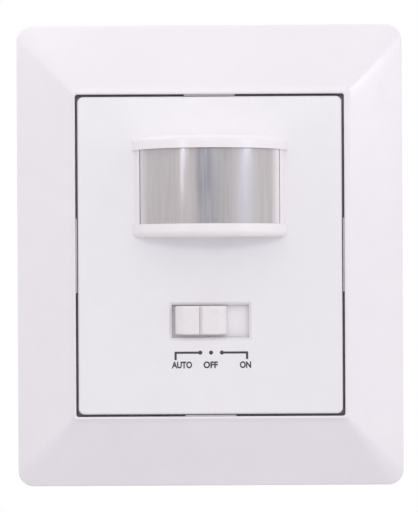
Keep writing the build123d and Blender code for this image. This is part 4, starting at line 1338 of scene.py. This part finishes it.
@dataclass(frozen=True)
class Softbox:
    """A rectangular lamp that points at the switch.

    Turn, rise and tilt are degrees, away and size metres, and the power watts.
    """

    name: str
    turn: float
    rise: float
    away: float
    size: Span
    power: float
    tone: Tone = WHITE
    tilt: float = 0.0
    reach: Reach = Reach.ALL

    def hang(self) -> None:
        """Hangs the lamp and points it at the switch, then tilts it about its own beam.

        Its place is the distance times (sin turn cos rise, -cos turn cos rise, sin rise).
        """
        light = bpy.data.lights.new(self.name, "AREA")
        light.shape = "RECTANGLE"
        light.size, light.size_y = self.size
        light.energy = self.power
        light.color = linear(self.tone)[:3]
        box = bpy.data.objects.new(self.name, light)
        across, up = math.radians(self.turn), math.radians(self.rise)
        flat = self.away * math.cos(up)
        box.location = (flat * math.sin(across), -flat * math.cos(across), self.away * math.sin(up))
        facing = (-box.location).to_track_quat("-Z", "Y")
        box.rotation_euler = (facing @ Quaternion((0, 0, 1), math.radians(self.tilt))).to_euler()
        box.visible_camera = False
        box.visible_diffuse = self.reach is not Reach.GLOSS
        box.visible_glossy = self.reach is not Reach.MATT
        bpy.context.collection.objects.link(box)


SOFTBOXES = (
    Softbox("top softbox", 0, 76, 0.2, (0.24, 0.08), 0.0192),
    Softbox("front softbox", 0, 13, 0.7, (0.3, 0.08), 0.438),
    Softbox("right softbox", 78, 10, 0.5, (0.2, 0.3), 0.297, reach=Reach.MATT),
    Softbox("left softbox", -84, 50, 0.13, (0.06, 0.06), 0.0115),
    Softbox("left stripe", -36.5, 14, 1.0, (0.1, 0.44), 1.1, (238, 232, 255), tilt=-17, reach=Reach.GLOSS),
    Softbox("left star", -35, 9, 1.0, (0.18, 0.05), 0.25, reach=Reach.GLOSS),
    Softbox("right stripe", 52, 14, 1.0, (0.19, 0.44), 0.42, (190, 176, 255), tilt=-8, reach=Reach.GLOSS),
    Softbox("right star", 55, 9, 1.0, (0.2, 0.05), 0.6, reach=Reach.GLOSS),
)


@dataclass
class Studio:
    """The camera, the lamps, the pale floor and the white surroundings.

    Distances are metres, and the offset of the camera is across and up in millimetres.
    """

    distance: float = 0.44
    focal_length: float = 148.3
    roll: float = 0.3
    offset: Span = (-0.22, -0.16)
    clip: Span = (0.02, 20.0)
    floor_drop: float = 0.3
    floor_reach: float = 1.4
    ambient: float = 0.895

    def build(self) -> None:
        """Sets up everything that is not part of the switch."""
        self.camera()
        self.surroundings()
        self.floor()
        for softbox in SOFTBOXES:
            softbox.hang()

    def camera(self) -> None:
        """Places the camera square in front of the switch, with the small roll of the photograph."""
        lens = bpy.data.cameras.new("camera")
        lens.sensor_width = 36.0
        lens.lens = self.focal_length
        lens.clip_start, lens.clip_end = self.clip
        eye = bpy.data.objects.new("camera", lens)
        eye.location = (self.offset[0] * MM, -self.distance, self.offset[1] * MM)
        eye.rotation_euler = (math.pi / 2, math.radians(self.roll), 0.0)
        bpy.context.collection.objects.link(eye)
        bpy.context.scene.camera = eye
        bpy.context.scene.view_settings.view_transform = "Standard"

    def surroundings(self) -> None:
        """Makes the world: an even light that looks plain white directly, in gloss and through glass."""
        world = bpy.data.worlds.new("surroundings")
        world.use_nodes = True
        world.node_tree.nodes.clear()
        w = Wiring(world.node_tree)
        path = w.add("ShaderNodeLightPath")
        seen = w.math("MAXIMUM", path.outputs["Is Camera Ray"], path.outputs["Is Glossy Ray"])
        seen = w.math("MAXIMUM", seen, path.outputs["Is Transmission Ray"])
        even = w.add("ShaderNodeBackground", {"Color": PLAIN, "Strength": self.ambient})
        white = w.add("ShaderNodeBackground", {"Color": PLAIN, "Strength": 1.0})
        mixed = w.add("ShaderNodeMixShader", {0: seen, 1: even.outputs[0], 2: white.outputs[0]})
        w.add("ShaderNodeOutputWorld", {"Surface": mixed.outputs[0]})
        bpy.context.scene.world = world

    def floor(self) -> None:
        """Lays a pale floor well below the switch, which keeps its shadow and returns a little light."""
        corners = np.array([(-1, -1, 0), (1, -1, 0), (1, 1, 0), (-1, 1, 0)]) * self.floor_reach
        mesh = bpy.data.meshes.new("floor")
        mesh.from_pydata((corners - (0, 0, self.floor_drop)).tolist(), [], [(0, 1, 2, 3)])
        slab = bpy.data.objects.new("floor", mesh)
        bpy.context.collection.objects.link(slab)
        mesh.materials.append(FLOOR_PAPER.material())


def main() -> None:
    """Builds the studio and every sub-assembly."""
    logging.basicConfig(level=logging.INFO, format="%(name)s: %(message)s")
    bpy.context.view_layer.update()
    Studio().build()
    for assembly in (Surround(), FrontPlate(), SensorLens(), Slider(), WallParts(), Electronics()):
        assembly.build()
        assembly.dress()


if __name__ == "__main__":
    main()
